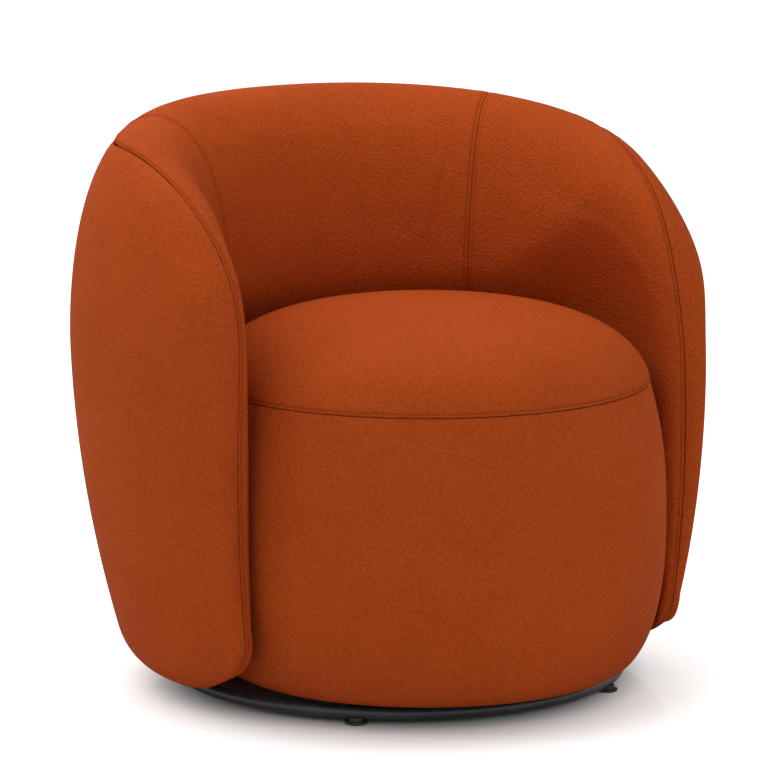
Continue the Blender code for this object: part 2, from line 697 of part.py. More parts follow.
def make_upper_plate():
    hole = SCREW_DIAMETER / 2 + CLEARANCE
    outlines = [rounded_square(PLATE_SIZE, PLATE_CORNER_RADIUS, turn=plate_turn)]
    for x, y in upper_screw_places():
        outlines.append(circle_points(hole, 12, (x, y)))
    outlines.append(circle_points(PIVOT_DIAMETER / 2 + CLEARANCE * 1.5, 32))
    flat_plate("swivel_upper_plate", outlines, upper_plate_bottom, PLATE_THICKNESS,
               ZINC_STEEL, (0.0, axis_y, 0.0))


def make_ball_cage():
    inner = BALL_CIRCLE_RADIUS - CAGE_WIDTH / 2
    outer = BALL_CIRCLE_RADIUS + CAGE_WIDTH / 2
    low = ball_height - CAGE_THICKNESS / 2
    high = ball_height + CAGE_THICKNESS / 2
    profile = [(inner, high), (outer, high), (outer, low), (inner, low)]
    cage = turned("ball_cage", profile, BRIGHT_STEEL, (0.0, axis_y, 0.0), steps=36)
    for index in range(BALL_COUNT):
        turn = 2 * math.pi * index / BALL_COUNT
        shape = bmesh.new()
        bmesh.ops.create_uvsphere(shape, u_segments=8, v_segments=6, radius=BALL_DIAMETER / 2)
        place = (BALL_CIRCLE_RADIUS * math.cos(turn), axis_y + BALL_CIRCLE_RADIUS * math.sin(turn),
                 ball_height)
        ball = add_cutter("ball_%02d" % (index + 1), mesh_from_bmesh("ball", shape), place)
        combine(cage, ball, "UNION")


def make_screws():
    radius = SCREW_DIAMETER / 2
    head = SCREW_HEAD_DIAMETER / 2
    length = SCREW_LENGTH
    for index, (x, y) in enumerate(upper_screw_places()):
        data = screw_mesh("upper_screw", radius, length, head, SCREW_HEAD_HEIGHT)
        add_object("upper_screw_%d" % (index + 1), data, ZINC_STEEL,
                   (x, axis_y + y, upper_plate_bottom - CLEARANCE))
    for index, (x, y) in enumerate(lower_screw_places()):
        data = screw_mesh("lower_screw", radius, length, head, SCREW_HEAD_HEIGHT)
        part = add_object("lower_screw_%d" % (index + 1), data, ZINC_STEEL,
                          (x, axis_y + y, lower_plate_top + CLEARANCE))
        part.rotation_euler = (math.pi, 0.0, 0.0)


def drum_radius(height):
    # The drum swells from its foot to its widest height and draws in again to the seam.
    if height < DRUM_WIDEST_HEIGHT:
        share = (DRUM_WIDEST_HEIGHT - height) / (DRUM_WIDEST_HEIGHT - DRUM_FOOT_HEIGHT)
        sag = 1 - (1 - share ** DRUM_FOOT_SHAPE[0]) ** DRUM_FOOT_SHAPE[1]
        return SEAT_RADIUS - (SEAT_RADIUS - DRUM_FOOT_RADIUS) * sag
    share = (height - DRUM_WIDEST_HEIGHT) / (SEAM_HEIGHT - DRUM_WIDEST_HEIGHT)
    return SEAT_RADIUS - (SEAT_RADIUS - SEAM_RADIUS) * share ** DRUM_TOP_SHAPE


def make_seat_band():
    span = SEAM_HEIGHT - DRUM_FOOT_HEIGHT
    outer = []
    for share in BAND_ROWS:
        height = DRUM_FOOT_HEIGHT + span * share
        pull = float(edge_pull((1.0 - share) * span)) * SEAT_SEAM_SHARE
        outer.append((drum_radius(height) - pull, height - CLEARANCE * share))
    inner = [(band_inner_radius(height), height) for height in band_inner_heights()]
    lip = (DRUM_FOOT_RADIUS - BAND_LIP_WIDTH, DRUM_FOOT_HEIGHT + CLEARANCE)
    lip_top = (lip[0] + BAND_LIP_DRAFT, DRUM_FOOT_HEIGHT + BAND_LIP_HEIGHT)
    profile = outer + [lip, lip_top] + inner
    return turned("seat_band", profile, FABRIC, (0.0, seat_y, 0.0))


def band_inner_heights():
    span = SEAM_HEIGHT - CLEARANCE - DRUM_FOOT_HEIGHT
    return [DRUM_FOOT_HEIGHT + span * share for share in BAND_INNER_ROWS]


def band_inner_radius(height):
    corners = band_inner_heights()
    radii = [drum_radius(corner) - BAND_THICKNESS for corner in corners]
    return float(np.interp(height, corners, radii))


def cushion_height(radius):
    share = min(radius / SEAM_RADIUS, 1.0)
    rise = CROWN_HEIGHT - SEAM_HEIGHT
    return SEAM_HEIGHT + rise * (1 - share ** CROWN_SHAPE[0]) ** CROWN_SHAPE[1]


def make_seat_cushion():
    top = []
    for share in CUSHION_ROWS:
        radius = SEAM_RADIUS * share
        top.append((radius, cushion_height(radius)))
    edge = SEAM_RADIUS - SEAT_SEAM_SHARE * SEAM_DRAW
    top.append((edge + CUSHION_EDGE_STEP[0], SEAM_HEIGHT + CUSHION_EDGE_STEP[1]))
    top.append((edge, SEAM_HEIGHT + CLEARANCE))
    inset = SEAM_RADIUS - BAND_THICKNESS - 2 * CLEARANCE
    base = SEAM_HEIGHT - CUSHION_EDGE_DEPTH
    bottom = [(inset, SEAM_HEIGHT + CLEARANCE), (inset, base), (0.0, base)]
    return turned("seat_cushion", top + bottom, FABRIC, (0.0, seat_y, 0.0), closed=False)


def seat_rail_top():
    return SEAM_HEIGHT - CUSHION_EDGE_DEPTH - SPRING_WIRE_DIAMETER - 2 * CLEARANCE


def seat_rail_radii():
    # The ring of the seat rail fits inside the band at both its faces.
    top = seat_rail_top()
    outer = min(band_inner_radius(top), band_inner_radius(top - SEAT_RAIL_THICKNESS))
    outer = outer * math.cos(math.pi / ROUND_STEPS) - CLEARANCE
    return outer - SEAT_RAIL_WIDTH, outer


def make_seat_board():
    board = cylinder_mesh("seat_board", board_radius, board_bottom, board_top, ROUND_STEPS)
    board = add_object("seat_board", board, PLYWOOD, (0.0, seat_y, 0.0))
    hole = SCREW_DIAMETER / 2 + CLEARANCE
    over = BOARD_THICKNESS / 4
    for index, (x, y) in enumerate(upper_screw_places()):
        data = cylinder_mesh("screw_hole", hole, board_bottom - over, board_top + over, 12)
        cutter = add_cutter("screw_hole_%d" % (index + 1), data, (x, axis_y + y, 0.0))
        combine(board, cutter, "DIFFERENCE")
    pocket = PIVOT_DIAMETER / 2 + PIVOT_CAP_OVERHANG + 2 * CLEARANCE
    pocket_top = upper_plate_top + PIVOT_CAP_THICKNESS + 2 * CLEARANCE
    data = cylinder_mesh("pivot_pocket", pocket, board_bottom - over, pocket_top, 32)
    combine(board, add_cutter("pivot_pocket", data, (0.0, axis_y, 0.0)), "DIFFERENCE")


def make_box(name, width, depth, bottom, top, place, turn, look):
    # The box stands at a place in plan, and its depth points along the turn.
    shape = bmesh.new()
    bmesh.ops.create_cube(shape, size=1.0)
    bmesh.ops.scale(shape, vec=(depth, width, top - bottom), verts=shape.verts)
    data = mesh_from_bmesh(name, shape)
    box = add_object(name, data, look, (place[0], place[1], (top + bottom) / 2), smooth=False)
    box.rotation_euler = (0.0, 0.0, turn)
    return box


def make_seat_frame():
    top = seat_rail_top()
    bottom = top - SEAT_RAIL_THICKNESS
    inner, outer = seat_rail_radii()
    profile = [(inner, top), (outer, top), (outer, bottom), (inner, bottom)]
    turned("seat_rail", profile, PLYWOOD, (0.0, seat_y, 0.0))
    posts = []
    for index in range(SEAT_POST_COUNT):
        turn = seat_post_turn(index)
        place = (seat_post_circle * math.cos(turn), seat_y + seat_post_circle * math.sin(turn))
        posts.append(make_box("seat_post_%d" % (index + 1), SEAT_POST_WIDTH, SEAT_POST_WIDTH,
                              board_top + CLEARANCE, bottom - CLEARANCE, place, turn, PLYWOOD))
    return posts


def seat_post_turn(index):
    return 2 * math.pi * (index + 0.5) / SEAT_POST_COUNT


def make_springs():
    # Zigzag wires lie on the seat rail, from front to back, under the cushion.
    height = seat_rail_top() + CLEARANCE + SPRING_WIRE_DIAMETER / 2
    inner = seat_rail_radii()[0]
    swings = (1, 1, -1, -1)
    for index in range(SPRING_COUNT):
        x = (index - (SPRING_COUNT - 1) / 2) * SPRING_SPACING
        reach = math.sqrt((inner + SPRING_END_HOLD) ** 2 - x ** 2)
        data = bpy.data.curves.new("zigzag_spring", "CURVE")
        data.dimensions = "3D"
        data.bevel_depth = SPRING_WIRE_DIAMETER / 2
        data.bevel_resolution = 1
        data.use_fill_caps = True
        spline = data.splines.new("POLY")
        count = SPRING_LOOPS * len(swings)
        spline.points.add(count)
        for step, point in enumerate(spline.points):
            swing = swings[step % len(swings)] * SPRING_LOOP_WIDTH / 2
            point.co = (x + swing, -reach + 2 * reach * step / count, 0.0, 1.0)
        add_object("seat_spring_%d" % (index + 1), data, BRIGHT_STEEL, (0.0, seat_y, height))


def make_dust_cover():
    # The thin cloth under the seat board, open round the upper plate.
    opening = rounded_square(PLATE_SIZE + 2 * DUST_COVER_OPENING_GAP, PLATE_CORNER_RADIUS, turn=plate_turn)
    opening = [(x, y + axis_y - seat_y) for x, y in opening]
    outlines = [circle_points(board_radius, ROUND_STEPS), opening]
    bottom = board_bottom - CLEARANCE - DUST_COVER_THICKNESS
    flat_plate("dust_cover", outlines, bottom, DUST_COVER_THICKNESS, BLACK_CLOTH, (0.0, seat_y, 0.0))


def crossing(line, height):
    # Where the back of a sheet crosses a height along one station, as angle and radius.
    heights = line[:, 2]
    if not heights.min() < height < heights.max():
        return None
    first, last = sorted((int(np.argmin(heights)), int(np.argmax(heights))))
    branch = line[first:last + 1]
    branch = branch[np.argsort(branch[:, 2])]
    x = float(np.interp(height, branch[:, 2], branch[:, 0]))
    y = float(np.interp(height, branch[:, 2], branch[:, 1])) - seat_y
    return math.atan2(x, y), math.hypot(x, y)


def back_radii(back, angles, levels):
    # The reach of a sheet's back at some angles and heights, a row for each height.
    rows = []
    for level in levels:
        points = sorted(filter(None, [crossing(line, level) for line in back]))
        rows.append(np.interp(angles, [point[0] for point in points], [point[1] for point in points]))
    return np.array(rows)


def rib_outline(inner_back, outer_back, bottom, top, end_angle):
    # A crescent between the backs of the pads and of the outer panel, clear of both as far as
    # the next corners of its outline.
    levels = (bottom, (bottom + top) / 2, top)
    step = end_angle / RIB_STEPS
    inner_side = []
    outer_side = []
    for angle in np.linspace(-end_angle, end_angle, 2 * RIB_STEPS + 1):
        window = angle + step * np.linspace(-1.0, 1.0, 9)
        near = float(back_radii(inner_back, window, levels).max()) + RIB_CLEARANCE
        far = float(back_radii(outer_back, window, levels).min()) - RIB_CLEARANCE
        inner_side.append((near * math.sin(angle), near * math.cos(angle)))
        outer_side.append((far * math.sin(angle), far * math.cos(angle)))
    return outer_side + inner_side[::-1]


def make_ribs(inner_back, outer_back):
    ribs = (("shell_base_rib", BASE_RIB_HEIGHT, BASE_RIB_ANGLE),
            ("shell_middle_rib", MIDDLE_RIB_HEIGHT, MIDDLE_RIB_ANGLE),
            ("shell_top_rib", top_rib_height, TOP_RIB_ANGLE))
    for name, bottom, end_angle in ribs:
        outline = rib_outline(inner_back, outer_back, bottom, bottom + RIB_THICKNESS, end_angle)
        flat_plate(name, [outline], bottom, RIB_THICKNESS, PLYWOOD, (0.0, seat_y, 0.0))
    bottom = BASE_RIB_HEIGHT - CLEARANCE - DUST_COVER_THICKNESS
    outline = rib_outline(inner_back, outer_back, bottom, bottom + DUST_COVER_THICKNESS, BASE_RIB_ANGLE)
    flat_plate("shell_dust_cover", [outline], bottom, DUST_COVER_THICKNESS, BLACK_CLOTH,
               (0.0, seat_y, 0.0))


def wall_back_radius(inner_back, angle, bottom, top):
    # The farthest that the back of the pads reaches out, at an angle and over a height range.
    return float(back_radii(inner_back, angle, np.linspace(bottom, top, 6)).max())


def make_shell_posts(inner_back):
    # Posts stand on the base rib and on the middle rib, in line with the seat posts.
    levels = (("lower", BASE_RIB_HEIGHT, MIDDLE_RIB_HEIGHT), ("upper", MIDDLE_RIB_HEIGHT, top_rib_height))
    lower_posts = []
    for index in range(SHELL_POST_COUNT):
        turn = seat_post_turn(index)
        angle = math.pi / 2 - turn
        radius = wall_back_radius(inner_back, angle, BASE_RIB_HEIGHT, top_rib_height) + RIB_CLEARANCE
        radius = radius + SHELL_POST_DEPTH / 2
        place = (radius * math.cos(turn), seat_y + radius * math.sin(turn))
        for level, low, high in levels:
            post = make_box("shell_%s_post_%d" % (level, index + 1), SHELL_POST_WIDTH, SHELL_POST_DEPTH,
                            low + RIB_THICKNESS + CLEARANCE, high - CLEARANCE, place, turn, PLYWOOD)
            if level == "lower":
                lower_posts.append((post, radius))
    return lower_posts


def make_joining_bolts(seat_posts, shell_posts, band, pads):
    # Each bolt holds a seat post to a shell post, through the band and the pad between them.
    radius = JOINING_BOLT_DIAMETER / 2
    start = seat_post_circle - SEAT_POST_WIDTH / 2 - CLEARANCE
    for index, (shell_post, post_radius) in enumerate(shell_posts):
        turn = seat_post_turn(index)
        length = post_radius + SHELL_POST_DEPTH / 2 - JOINING_BOLT_END_GAP - start
        place = (start * math.cos(turn), seat_y + start * math.sin(turn), JOINING_BOLT_HEIGHT)
        data = screw_mesh("joining_bolt", radius, length, JOINING_BOLT_HEAD_DIAMETER / 2,
                          JOINING_BOLT_HEAD_HEIGHT)
        bolt = add_object("joining_bolt_%d" % (index + 1), data, ZINC_STEEL, place)
        bolt.rotation_euler = (0.0, math.pi / 2, turn)
        data = cylinder_mesh("bolt_hole", radius + CLEARANCE, -JOINING_BOLT_END_GAP,
                             length + CLEARANCE, 12)
        cutter = add_cutter("bolt_hole_%d" % (index + 1), data, place)
        cutter.rotation_euler = (0.0, math.pi / 2, turn)
        for part in (seat_posts[index], shell_post, band, pads[index]):
            combine(part, cutter, "DIFFERENCE")


def main():
    make_base_ring()
    make_base_bars()
    make_glides()
    make_lower_plate()
    make_pivot()
    make_upper_plate()
    make_ball_cage()
    make_screws()
    band = make_seat_band()
    make_seat_cushion()
    make_seat_board()
    seat_posts = make_seat_frame()
    make_springs()
    make_dust_cover()
    split = station_of_angle(BACK_PAD_ANGLE)
    outer_back = make_outer_panel(split)
    back_pad, middle_back = make_pad("back_pad", back_stations(split), (-split, split))
    left_pad, left_back = make_pad("arm_pad_left", -arm_stations(split)[::-1], (-split,))
    right_pad, right_back = make_pad("arm_pad_right", arm_stations(split), (split,))
    inner_back = np.concatenate([left_back, middle_back, right_back])
    make_ribs(inner_back, outer_back)
    shell_posts = make_shell_posts(inner_back)
    pads = (right_pad, back_pad, back_pad, left_pad)
    make_joining_bolts(seat_posts, shell_posts, band, pads)


clear_scene()
parts = make_collection(COLLECTION_NAME, False)
cutters = make_collection("cutters", True)
back_reach = SHELL_RADIUS + SHELL_LEAN * SHELL_WIDEST_HEIGHT
front_reach = SEAT_RADIUS + SEAT_FORWARD
axis_y = (front_reach - back_reach) / 2
seat_y = axis_y - SEAT_FORWARD
plate_turn = math.radians(45.0)
board_radius = DRUM_FOOT_RADIUS - BAND_LIP_WIDTH - 2 * CLEARANCE
seat_post_circle = board_radius - SEAT_POST_WIDTH / 2 - SEAT_POST_INSET
main()
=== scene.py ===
# Looks of the swivel accent chair: pebbled orange cloth over puffed pads, on a black ring base.
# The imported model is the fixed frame. Soft pieces are numpy surfaces, swelled by Blender's cloth.

import math

import bmesh
import bpy
import numpy as np
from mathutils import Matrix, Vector
from mathutils.bvhtree import BVHTree


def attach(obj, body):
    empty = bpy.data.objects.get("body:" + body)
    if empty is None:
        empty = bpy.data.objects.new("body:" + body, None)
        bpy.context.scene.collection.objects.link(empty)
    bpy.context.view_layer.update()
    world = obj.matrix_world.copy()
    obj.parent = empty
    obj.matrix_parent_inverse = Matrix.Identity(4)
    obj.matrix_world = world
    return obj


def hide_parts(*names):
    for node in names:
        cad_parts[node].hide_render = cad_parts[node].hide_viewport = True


print("stage 1: the packed frame")
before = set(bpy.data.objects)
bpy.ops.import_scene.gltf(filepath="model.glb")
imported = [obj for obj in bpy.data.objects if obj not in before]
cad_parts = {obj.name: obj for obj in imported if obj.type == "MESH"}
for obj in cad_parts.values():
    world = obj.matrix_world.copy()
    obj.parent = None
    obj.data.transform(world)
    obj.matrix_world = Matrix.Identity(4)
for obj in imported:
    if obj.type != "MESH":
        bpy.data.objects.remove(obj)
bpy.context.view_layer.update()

# The chair's measures in metres, nearly all the same as its source's

seat = {
    "radius": 0.306,
    "forward": 0.070,                 # from the swivel's axis to the drum's
    "seamHeight": 0.396,
    "seamRadius": 0.2826,
    "crownHeight": 0.4934,
    "crownShape": (3.14, 0.566),      # the powers p and q of the crown's curve
    "footRadius": 0.244,
    "footHeight": 0.027,
    "widestHeight": 0.225,
    "footShape": (2.6, 0.55),         # the powers p and q of the foot's curve
    "topShape": 2.4,                  # the power t of the curve up to the seam
}

shell = {
    "radius": 0.407,
    "widestHeight": 0.44,
    "taper": 0.165,                   # the share of its radius that the wall loses at the floor
    "lean": 0.0648,                   # backward shift for each metre of height
    "rimHeight": 0.729,
    "rimBendHeight": 0.39,            # where an arm's front edge stands upright
    "rimPowerAcross": 2.35,
    "rimPowerUp": 3.1,
    "rimSteps": 400,
    "cornerRadius": 0.030,
    "cornerSteps": 60,
    "armAngle": math.radians(108.2),  # from the middle of the back to the nose
    "footHeight": 0.026,
    "footDip": 0.0035,
    "footDipStart": math.radians(52.0),
    "footRise": 0.056,
    "footRiseStart": math.radians(80.0),
    "closingDepth": 0.06,             # a wall lower than this closes to an edge
    "outerRoll": 0.262,               # rolls are lengths along the wall, from the rim or the foot
    "innerRoll": 0.222,
    "noseRoll": 0.046,
    "noseInnerRoll": 0.105,
    "rollLimit": 0.55,                # limits are shares of the wall's own length
    "outerFootRoll": 0.045,
    "noseFootRoll": 0.080,
    "innerFootRoll": 0.032,
    "footRollLimit": 0.40,
    "footTuck": 0.030,
    "outerSquareness": 0.05,          # 0 is a round roll, more is a squarer one
    "innerSquareness": 0.12,
    "innerFootSquareness": 0.32,
    "outerFootSquareness": 0.12,
    "seatGap": 0.0025,
    "belly": 0.044,
    "armBelly": 0.042,
    "bellyStart": 0.39,
    "bellyFull": 0.50,
    "armBellyStart": 0.40,
    "armBellyFull": 0.68,
    "crestAtBack": 0.48,              # crests are shares of the way from the inner to the outer face
    "crestAtNose": 0.45,
    "footCrestAtBack": 0.55,
    "footCrestAtNose": 0.36,
    "crestShift": (0.40, 0.70),
    "backPadAngle": math.radians(42.5),
    "seamAtBack": 0.33,
    "seamAtTurn": 0.0,
    "seamAtFoot": 0.20,
    "seamFootFrom": 0.58,
    # Degrees from the middle of the back, between which a measure goes over to the nose's
    "bellySpan": (45, 100),
    "crestSpan": (60, 104),
    "outerRollSpan": (82, 108),
    "innerRollSpan": (42, 88),
    "footSpan": (70, 103),
    "seamSpan": (38, 86),
}
shell["meanRadius"] = (seat["radius"] + shell["radius"]) / 2

backReach = shell["radius"] + shell["lean"] * shell["widestHeight"]
frontReach = seat["radius"] + seat["forward"]
axisY = (frontReach - backReach) / 2
seatY = axisY - seat["forward"]


def smoothStep(low, high, value):
    # t = (value - low) / (high - low) held in 0..1, and t^2 (3 - 2 t)
    t = np.clip((value - low) / (high - low), 0.0, 1.0)
    return t * t * (3 - 2 * t)


def blend(first, second, share):
    # first + (second - first) * share
    return first + (second - first) * share


def bend(span, angle):
    # 0 before and 1 past the named span of degrees, smoothStep between
    return smoothStep(*np.radians(shell[span]), angle)


def footHeight(angle):
    # The shell's lower edge: it dips at the arms, then rises by footRise t^2 towards the nose
    t = np.clip((angle - shell["footRiseStart"]) / (shell["armAngle"] - shell["footRiseStart"]), 0.0, 1.0)
    dip = shell["footDip"] * smoothStep(shell["footDipStart"], shell["footRiseStart"], angle)
    return shell["footHeight"] - dip + shell["footRise"] * t ** 2


def makeRim():
    # Super-ellipse (angle / armAngle)^p + (rise / height)^q = 1, then a quarter circle at the nose's foot
    turn = np.linspace(0.0, math.pi / 2, shell["rimSteps"])
    angle = shell["armAngle"] * np.sin(turn) ** (2 / shell["rimPowerAcross"])
    rise = shell["rimHeight"] - shell["rimBendHeight"]
    height = shell["rimBendHeight"] + rise * np.cos(turn) ** (2 / shell["rimPowerUp"])
    arc = np.linspace(0.0, math.pi / 2, shell["cornerSteps"])
    arcAngle = shell["armAngle"] - shell["cornerRadius"] / shell["meanRadius"] * (1 - np.cos(arc))
    arcHeight = footHeight(arcAngle) + shell["cornerRadius"] * (1 - np.sin(arc))
    angle = np.concatenate([angle, arcAngle])
    height = np.concatenate([height, arcHeight])
    run = np.hypot(np.diff(angle) * shell["meanRadius"], np.diff(height))
    length = np.concatenate([[0.0], np.cumsum(run)])
    return angle, height, length


rimAngle, rimHeight, rimLength = makeRim()
rimTotal = rimLength[-1]
footEnd = float(rimAngle[-1])
footPower = float(rimTotal / (shell["meanRadius"] * footEnd))


def outerRadius(angle, height):
    # A circle about a centre that leans back with height, seen from the seat's axis
    share = np.clip((shell["widestHeight"] - height) / shell["widestHeight"], 0.0, 1.0)
    radius = shell["radius"] * (1 - shell["taper"] * share ** 2)
    level = np.minimum(height, shell["widestHeight"])
    offset = seat["forward"] + shell["lean"] * level
    return offset * np.cos(angle) + np.sqrt(radius ** 2 - (offset * np.sin(angle)) ** 2)


def innerRadius(angle, height):
    # The seat's radius plus a gap, less the belly above the seat and the tuck at the foot
    wall = seat["radius"] + shell["seatGap"]
    arm = bend("bellySpan", np.abs(angle))
    depth = blend(shell["belly"], shell["armBelly"], arm)
    start = blend(shell["bellyStart"], shell["armBellyStart"], arm)
    full = blend(shell["bellyFull"], shell["armBellyFull"], arm)
    foot = shell["footHeight"] + shell["innerFootRoll"]
    tuck = shell["footTuck"] * np.clip((foot - height) / shell["innerFootRoll"], 0.0, 1.0) ** 2
    return wall - depth * smoothStep(start, full, height) - tuck


def shellSurface(station, place):
    # station -1..1 runs along the rim; place 0 is the rim, 1 the roll's end, 2 the foot's roll, 3 under
    # the wall, plus outside and minus inside: radius = crest + (wall - crest) sin(roll) sin(foot)
    share = np.clip(np.abs(station), 0.0, 1.0)
    topAngle = np.interp(share * rimTotal, rimLength, rimAngle)
    topHeight = np.interp(share * rimTotal, rimLength, rimHeight)
    footAngle = footEnd * (1 - (1 - share) ** footPower)
    across = (footAngle - topAngle) * shell["meanRadius"]
    drop = topHeight - footHeight(footAngle)
    depth = np.maximum(np.hypot(across, drop), 1e-6)
    outside = place >= 0

    outerRoll = blend(shell["outerRoll"], shell["noseRoll"], bend("outerRollSpan", topAngle))
    innerRoll = blend(shell["innerRoll"], shell["noseInnerRoll"], bend("innerRollSpan", topAngle))
    roll = np.minimum(np.where(outside, outerRoll, innerRoll), shell["rollLimit"] * depth)
    footBend = bend("footSpan", footAngle)
    outerFoot = blend(shell["outerFootRoll"], shell["noseFootRoll"], footBend)
    footRoll = np.where(outside, outerFoot, shell["innerFootRoll"])
    foot = np.minimum(footRoll, shell["footRollLimit"] * depth)

    c = np.abs(place)
    rimTurn = np.clip(c, 0.0, 1.0) * math.pi / 2
    footTurn = np.clip(3.0 - c, 0.0, 1.0) * math.pi / 2
    straight = np.clip(c - 1.0, 0.0, 1.0)
    travel = roll * (1 - np.cos(rimTurn)) + (depth - roll - foot) * straight
    travel = travel + foot * np.where(c > 2.0, np.cos(footTurn), 0.0)
    squareness = np.where(outside, shell["outerSquareness"], shell["innerSquareness"])
    fullness = np.sin(rimTurn) * (1 + squareness * np.cos(rimTurn) ** 2)
    footSquare = np.where(outside, shell["outerFootSquareness"], shell["innerFootSquareness"])
    fullness = fullness * np.sin(footTurn) * (1 + footSquare * np.cos(footTurn) ** 2)
    closing = np.clip(1 - depth / shell["closingDepth"], 0.0, 1.0)
    fullness = fullness * np.sqrt(1 - closing ** 2)

    along = travel / depth
    angle = blend(topAngle, footAngle, along)
    height = topHeight - drop * along
    outer = outerRadius(angle, height)
    inner = innerRadius(angle, height)
    rimCrest = blend(shell["crestAtBack"], shell["crestAtNose"], bend("crestSpan", topAngle))
    footCrest = blend(shell["footCrestAtBack"], shell["footCrestAtNose"], footBend)
    crestShare = blend(rimCrest, footCrest, smoothStep(*shell["crestShift"], along))
    crest = blend(inner, outer, crestShare)
    radius = blend(crest, np.where(outside, outer, inner), fullness)
    x = np.sign(station) * radius * np.sin(angle)
    y = seatY + radius * np.cos(angle)
    return np.stack([x, y, height], axis=-1)


def gridNormal(points, wrapped=False):
    # n = dP/di x dP/dj by central differences, made a unit vector
    along = np.gradient(points, axis=0)
    if wrapped:
        along = np.roll(points, -1, axis=0) - np.roll(points, 1, axis=0)
    across = np.gradient(points, axis=1)
    normal = np.cross(along, across)
    size = np.linalg.norm(normal, axis=-1, keepdims=True)
    return normal / np.maximum(size, 1e-9)


def alongScale(station, place, half=0.004):
    # Metres per unit of station, measured over half a step to each side
    step = shellSurface(station + half, place) - shellSurface(station - half, place)
    return np.linalg.norm(step, axis=-1) / (2 * half)


def acrossScale(station, place, half=0.01):
    # Metres per unit of place, measured over half a step to each side
    step = shellSurface(station, place + half) - shellSurface(station, place - half)
    return np.linalg.norm(step, axis=-1) / (2 * half)


def seamPlace(station):
    # The rim seam's place: behind the crest at the back, on it round the turn, outside it at the foot
    angle = np.interp(np.abs(station) * rimTotal, rimLength, rimAngle)
    foot = smoothStep(shell["seamFootFrom"], 1.0, np.abs(station))
    place = blend(shell["seamAtBack"], shell["seamAtTurn"], bend("seamSpan", angle))
    return place + (shell["seamAtFoot"] - shell["seamAtTurn"]) * foot


# The side seams' station, looked up on the rim before its corner turns back
upToCorner = slice(shell["rimSteps"])
splitStation = np.interp(shell["backPadAngle"], rimAngle[upToCorner], rimLength[upToCorner])
splitStation = float(splitStation / rimTotal)


# Helpers for shader maths

class Field:
    # A node socket with arithmetic: each operator adds one Math node, so a * b + c reads as it is written
    def __init__(self, kit, socket):
        self.kit = kit
        self.socket = socket

    def join(self, operation, first, second):
        return self.kit.node("ShaderNodeMath", {"operation": operation}, first, second)

    def __add__(self, other):
        return self.join("ADD", self, other)

    def __radd__(self, other):
        return self.join("ADD", other, self)

    def __sub__(self, other):
        return self.join("SUBTRACT", self, other)

    def __rsub__(self, other):
        return self.join("SUBTRACT", other, self)

    def __mul__(self, other):
        return self.join("MULTIPLY", self, other)

    def __rmul__(self, other):
        return self.join("MULTIPLY", other, self)

    def larger(self, other):
        return self.join("MAXIMUM", self, other)

    def clamped(self):
        return self.kit.node("ShaderNodeClamp", {}, self, 0.0, 1.0)

    def between(self, low, high):
        # (value - low) / (high - low), smooth and held in 0..1
        settings = {"interpolation_type": "SMOOTHSTEP"}
        return self.kit.node("ShaderNodeMapRange", settings, self, low, high, 0.0, 1.0)


class NodeKit:
    # One node tree, and the one method that adds a node to it
    def __init__(self, tree):
        self.tree = tree

    def node(self, kind, settings, *values, **named):
        # Settings come first, then the sockets by order or by name; None leaves a socket as it is
        made = self.tree.nodes.new(kind)
        for key, value in settings.items():
            if key != "output":
                setattr(made, key, value)
        for key, value in [*enumerate(values), *named.items()]:
            if value is not None:
                self.feed(made.inputs[key], value)
        return Field(self, made.outputs[settings.get("output", 0)])

    def feed(self, socket, value):
        # A Field is linked, and a number or tuple is set, with 1 for a colour's missing alpha
        if isinstance(value, Field):
            self.tree.links.new(value.socket, socket)
        elif hasattr(socket.default_value, "__len__") and len(value) < len(socket.default_value):
            socket.default_value = (*value, 1.0)
        else:
            socket.default_value = value


class Finish(NodeKit):
    # One material: its shader, its object coordinates and the patterns that the finishes share
    def __init__(self, name):
        self.material = bpy.data.materials.new(name)
        self.material.use_nodes = True
        super().__init__(self.material.node_tree)
        self.shader = self.tree.nodes["Principled BSDF"]
        self.place = self.node("ShaderNodeTexCoord", {"output": "Object"})

    def set(self, sockets):
        for key, value in sockets.items():
            self.feed(self.shader.inputs[key], value)

    def noise(self, scale, detail, roughness, place=None):
        return self.node("ShaderNodeTexNoise", {}, Vector=place or self.place, Scale=scale,
                         Detail=detail, Roughness=roughness)

    def wave(self, direction, scale, distortion=0.0):
        settings = {"output": "Fac", "wave_type": "BANDS", "bands_direction": direction}
        return self.node("ShaderNodeTexWave", settings, Vector=self.place, Scale=scale,
                         Distortion=distortion)

    def cells(self, scale, place):
        # Rounded cells: the distance from the nearest cell's middle
        settings = {"feature": "SMOOTH_F1", "output": "Distance"}
        return self.node("ShaderNodeTexVoronoi", settings, Vector=place, Scale=scale, Randomness=1.0)

    def stretched(self, scale):
        return self.node("ShaderNodeMapping", {}, Vector=self.place, Scale=scale)

    def warped(self, amount, scale):
        # place + amount * (noise colour - 0.5)
        wander = self.node("ShaderNodeTexNoise", {"output": 1}, Vector=self.place, Scale=scale, Detail=1.0)
        settings = {"operation": "MULTIPLY_ADD"}
        scaled = self.node("ShaderNodeVectorMath", settings, wander, (amount,) * 3, (-amount / 2,) * 3)
        return self.node("ShaderNodeVectorMath", {"operation": "ADD"}, self.place, scaled)

    def mixed(self, factor, first, second):
        # A colour mix: first where factor is 0, second where it is 1. Its two colours are sockets 6 and 7
        settings = {"data_type": "RGBA", "output": 2}
        return self.node("ShaderNodeMix", settings, factor, *[None] * 5, first, second)

    def bump(self, height, strength, distance):
        return self.node("ShaderNodeBump", {}, Height=height, Strength=strength, Distance=distance)


print("stage 2: finishes")

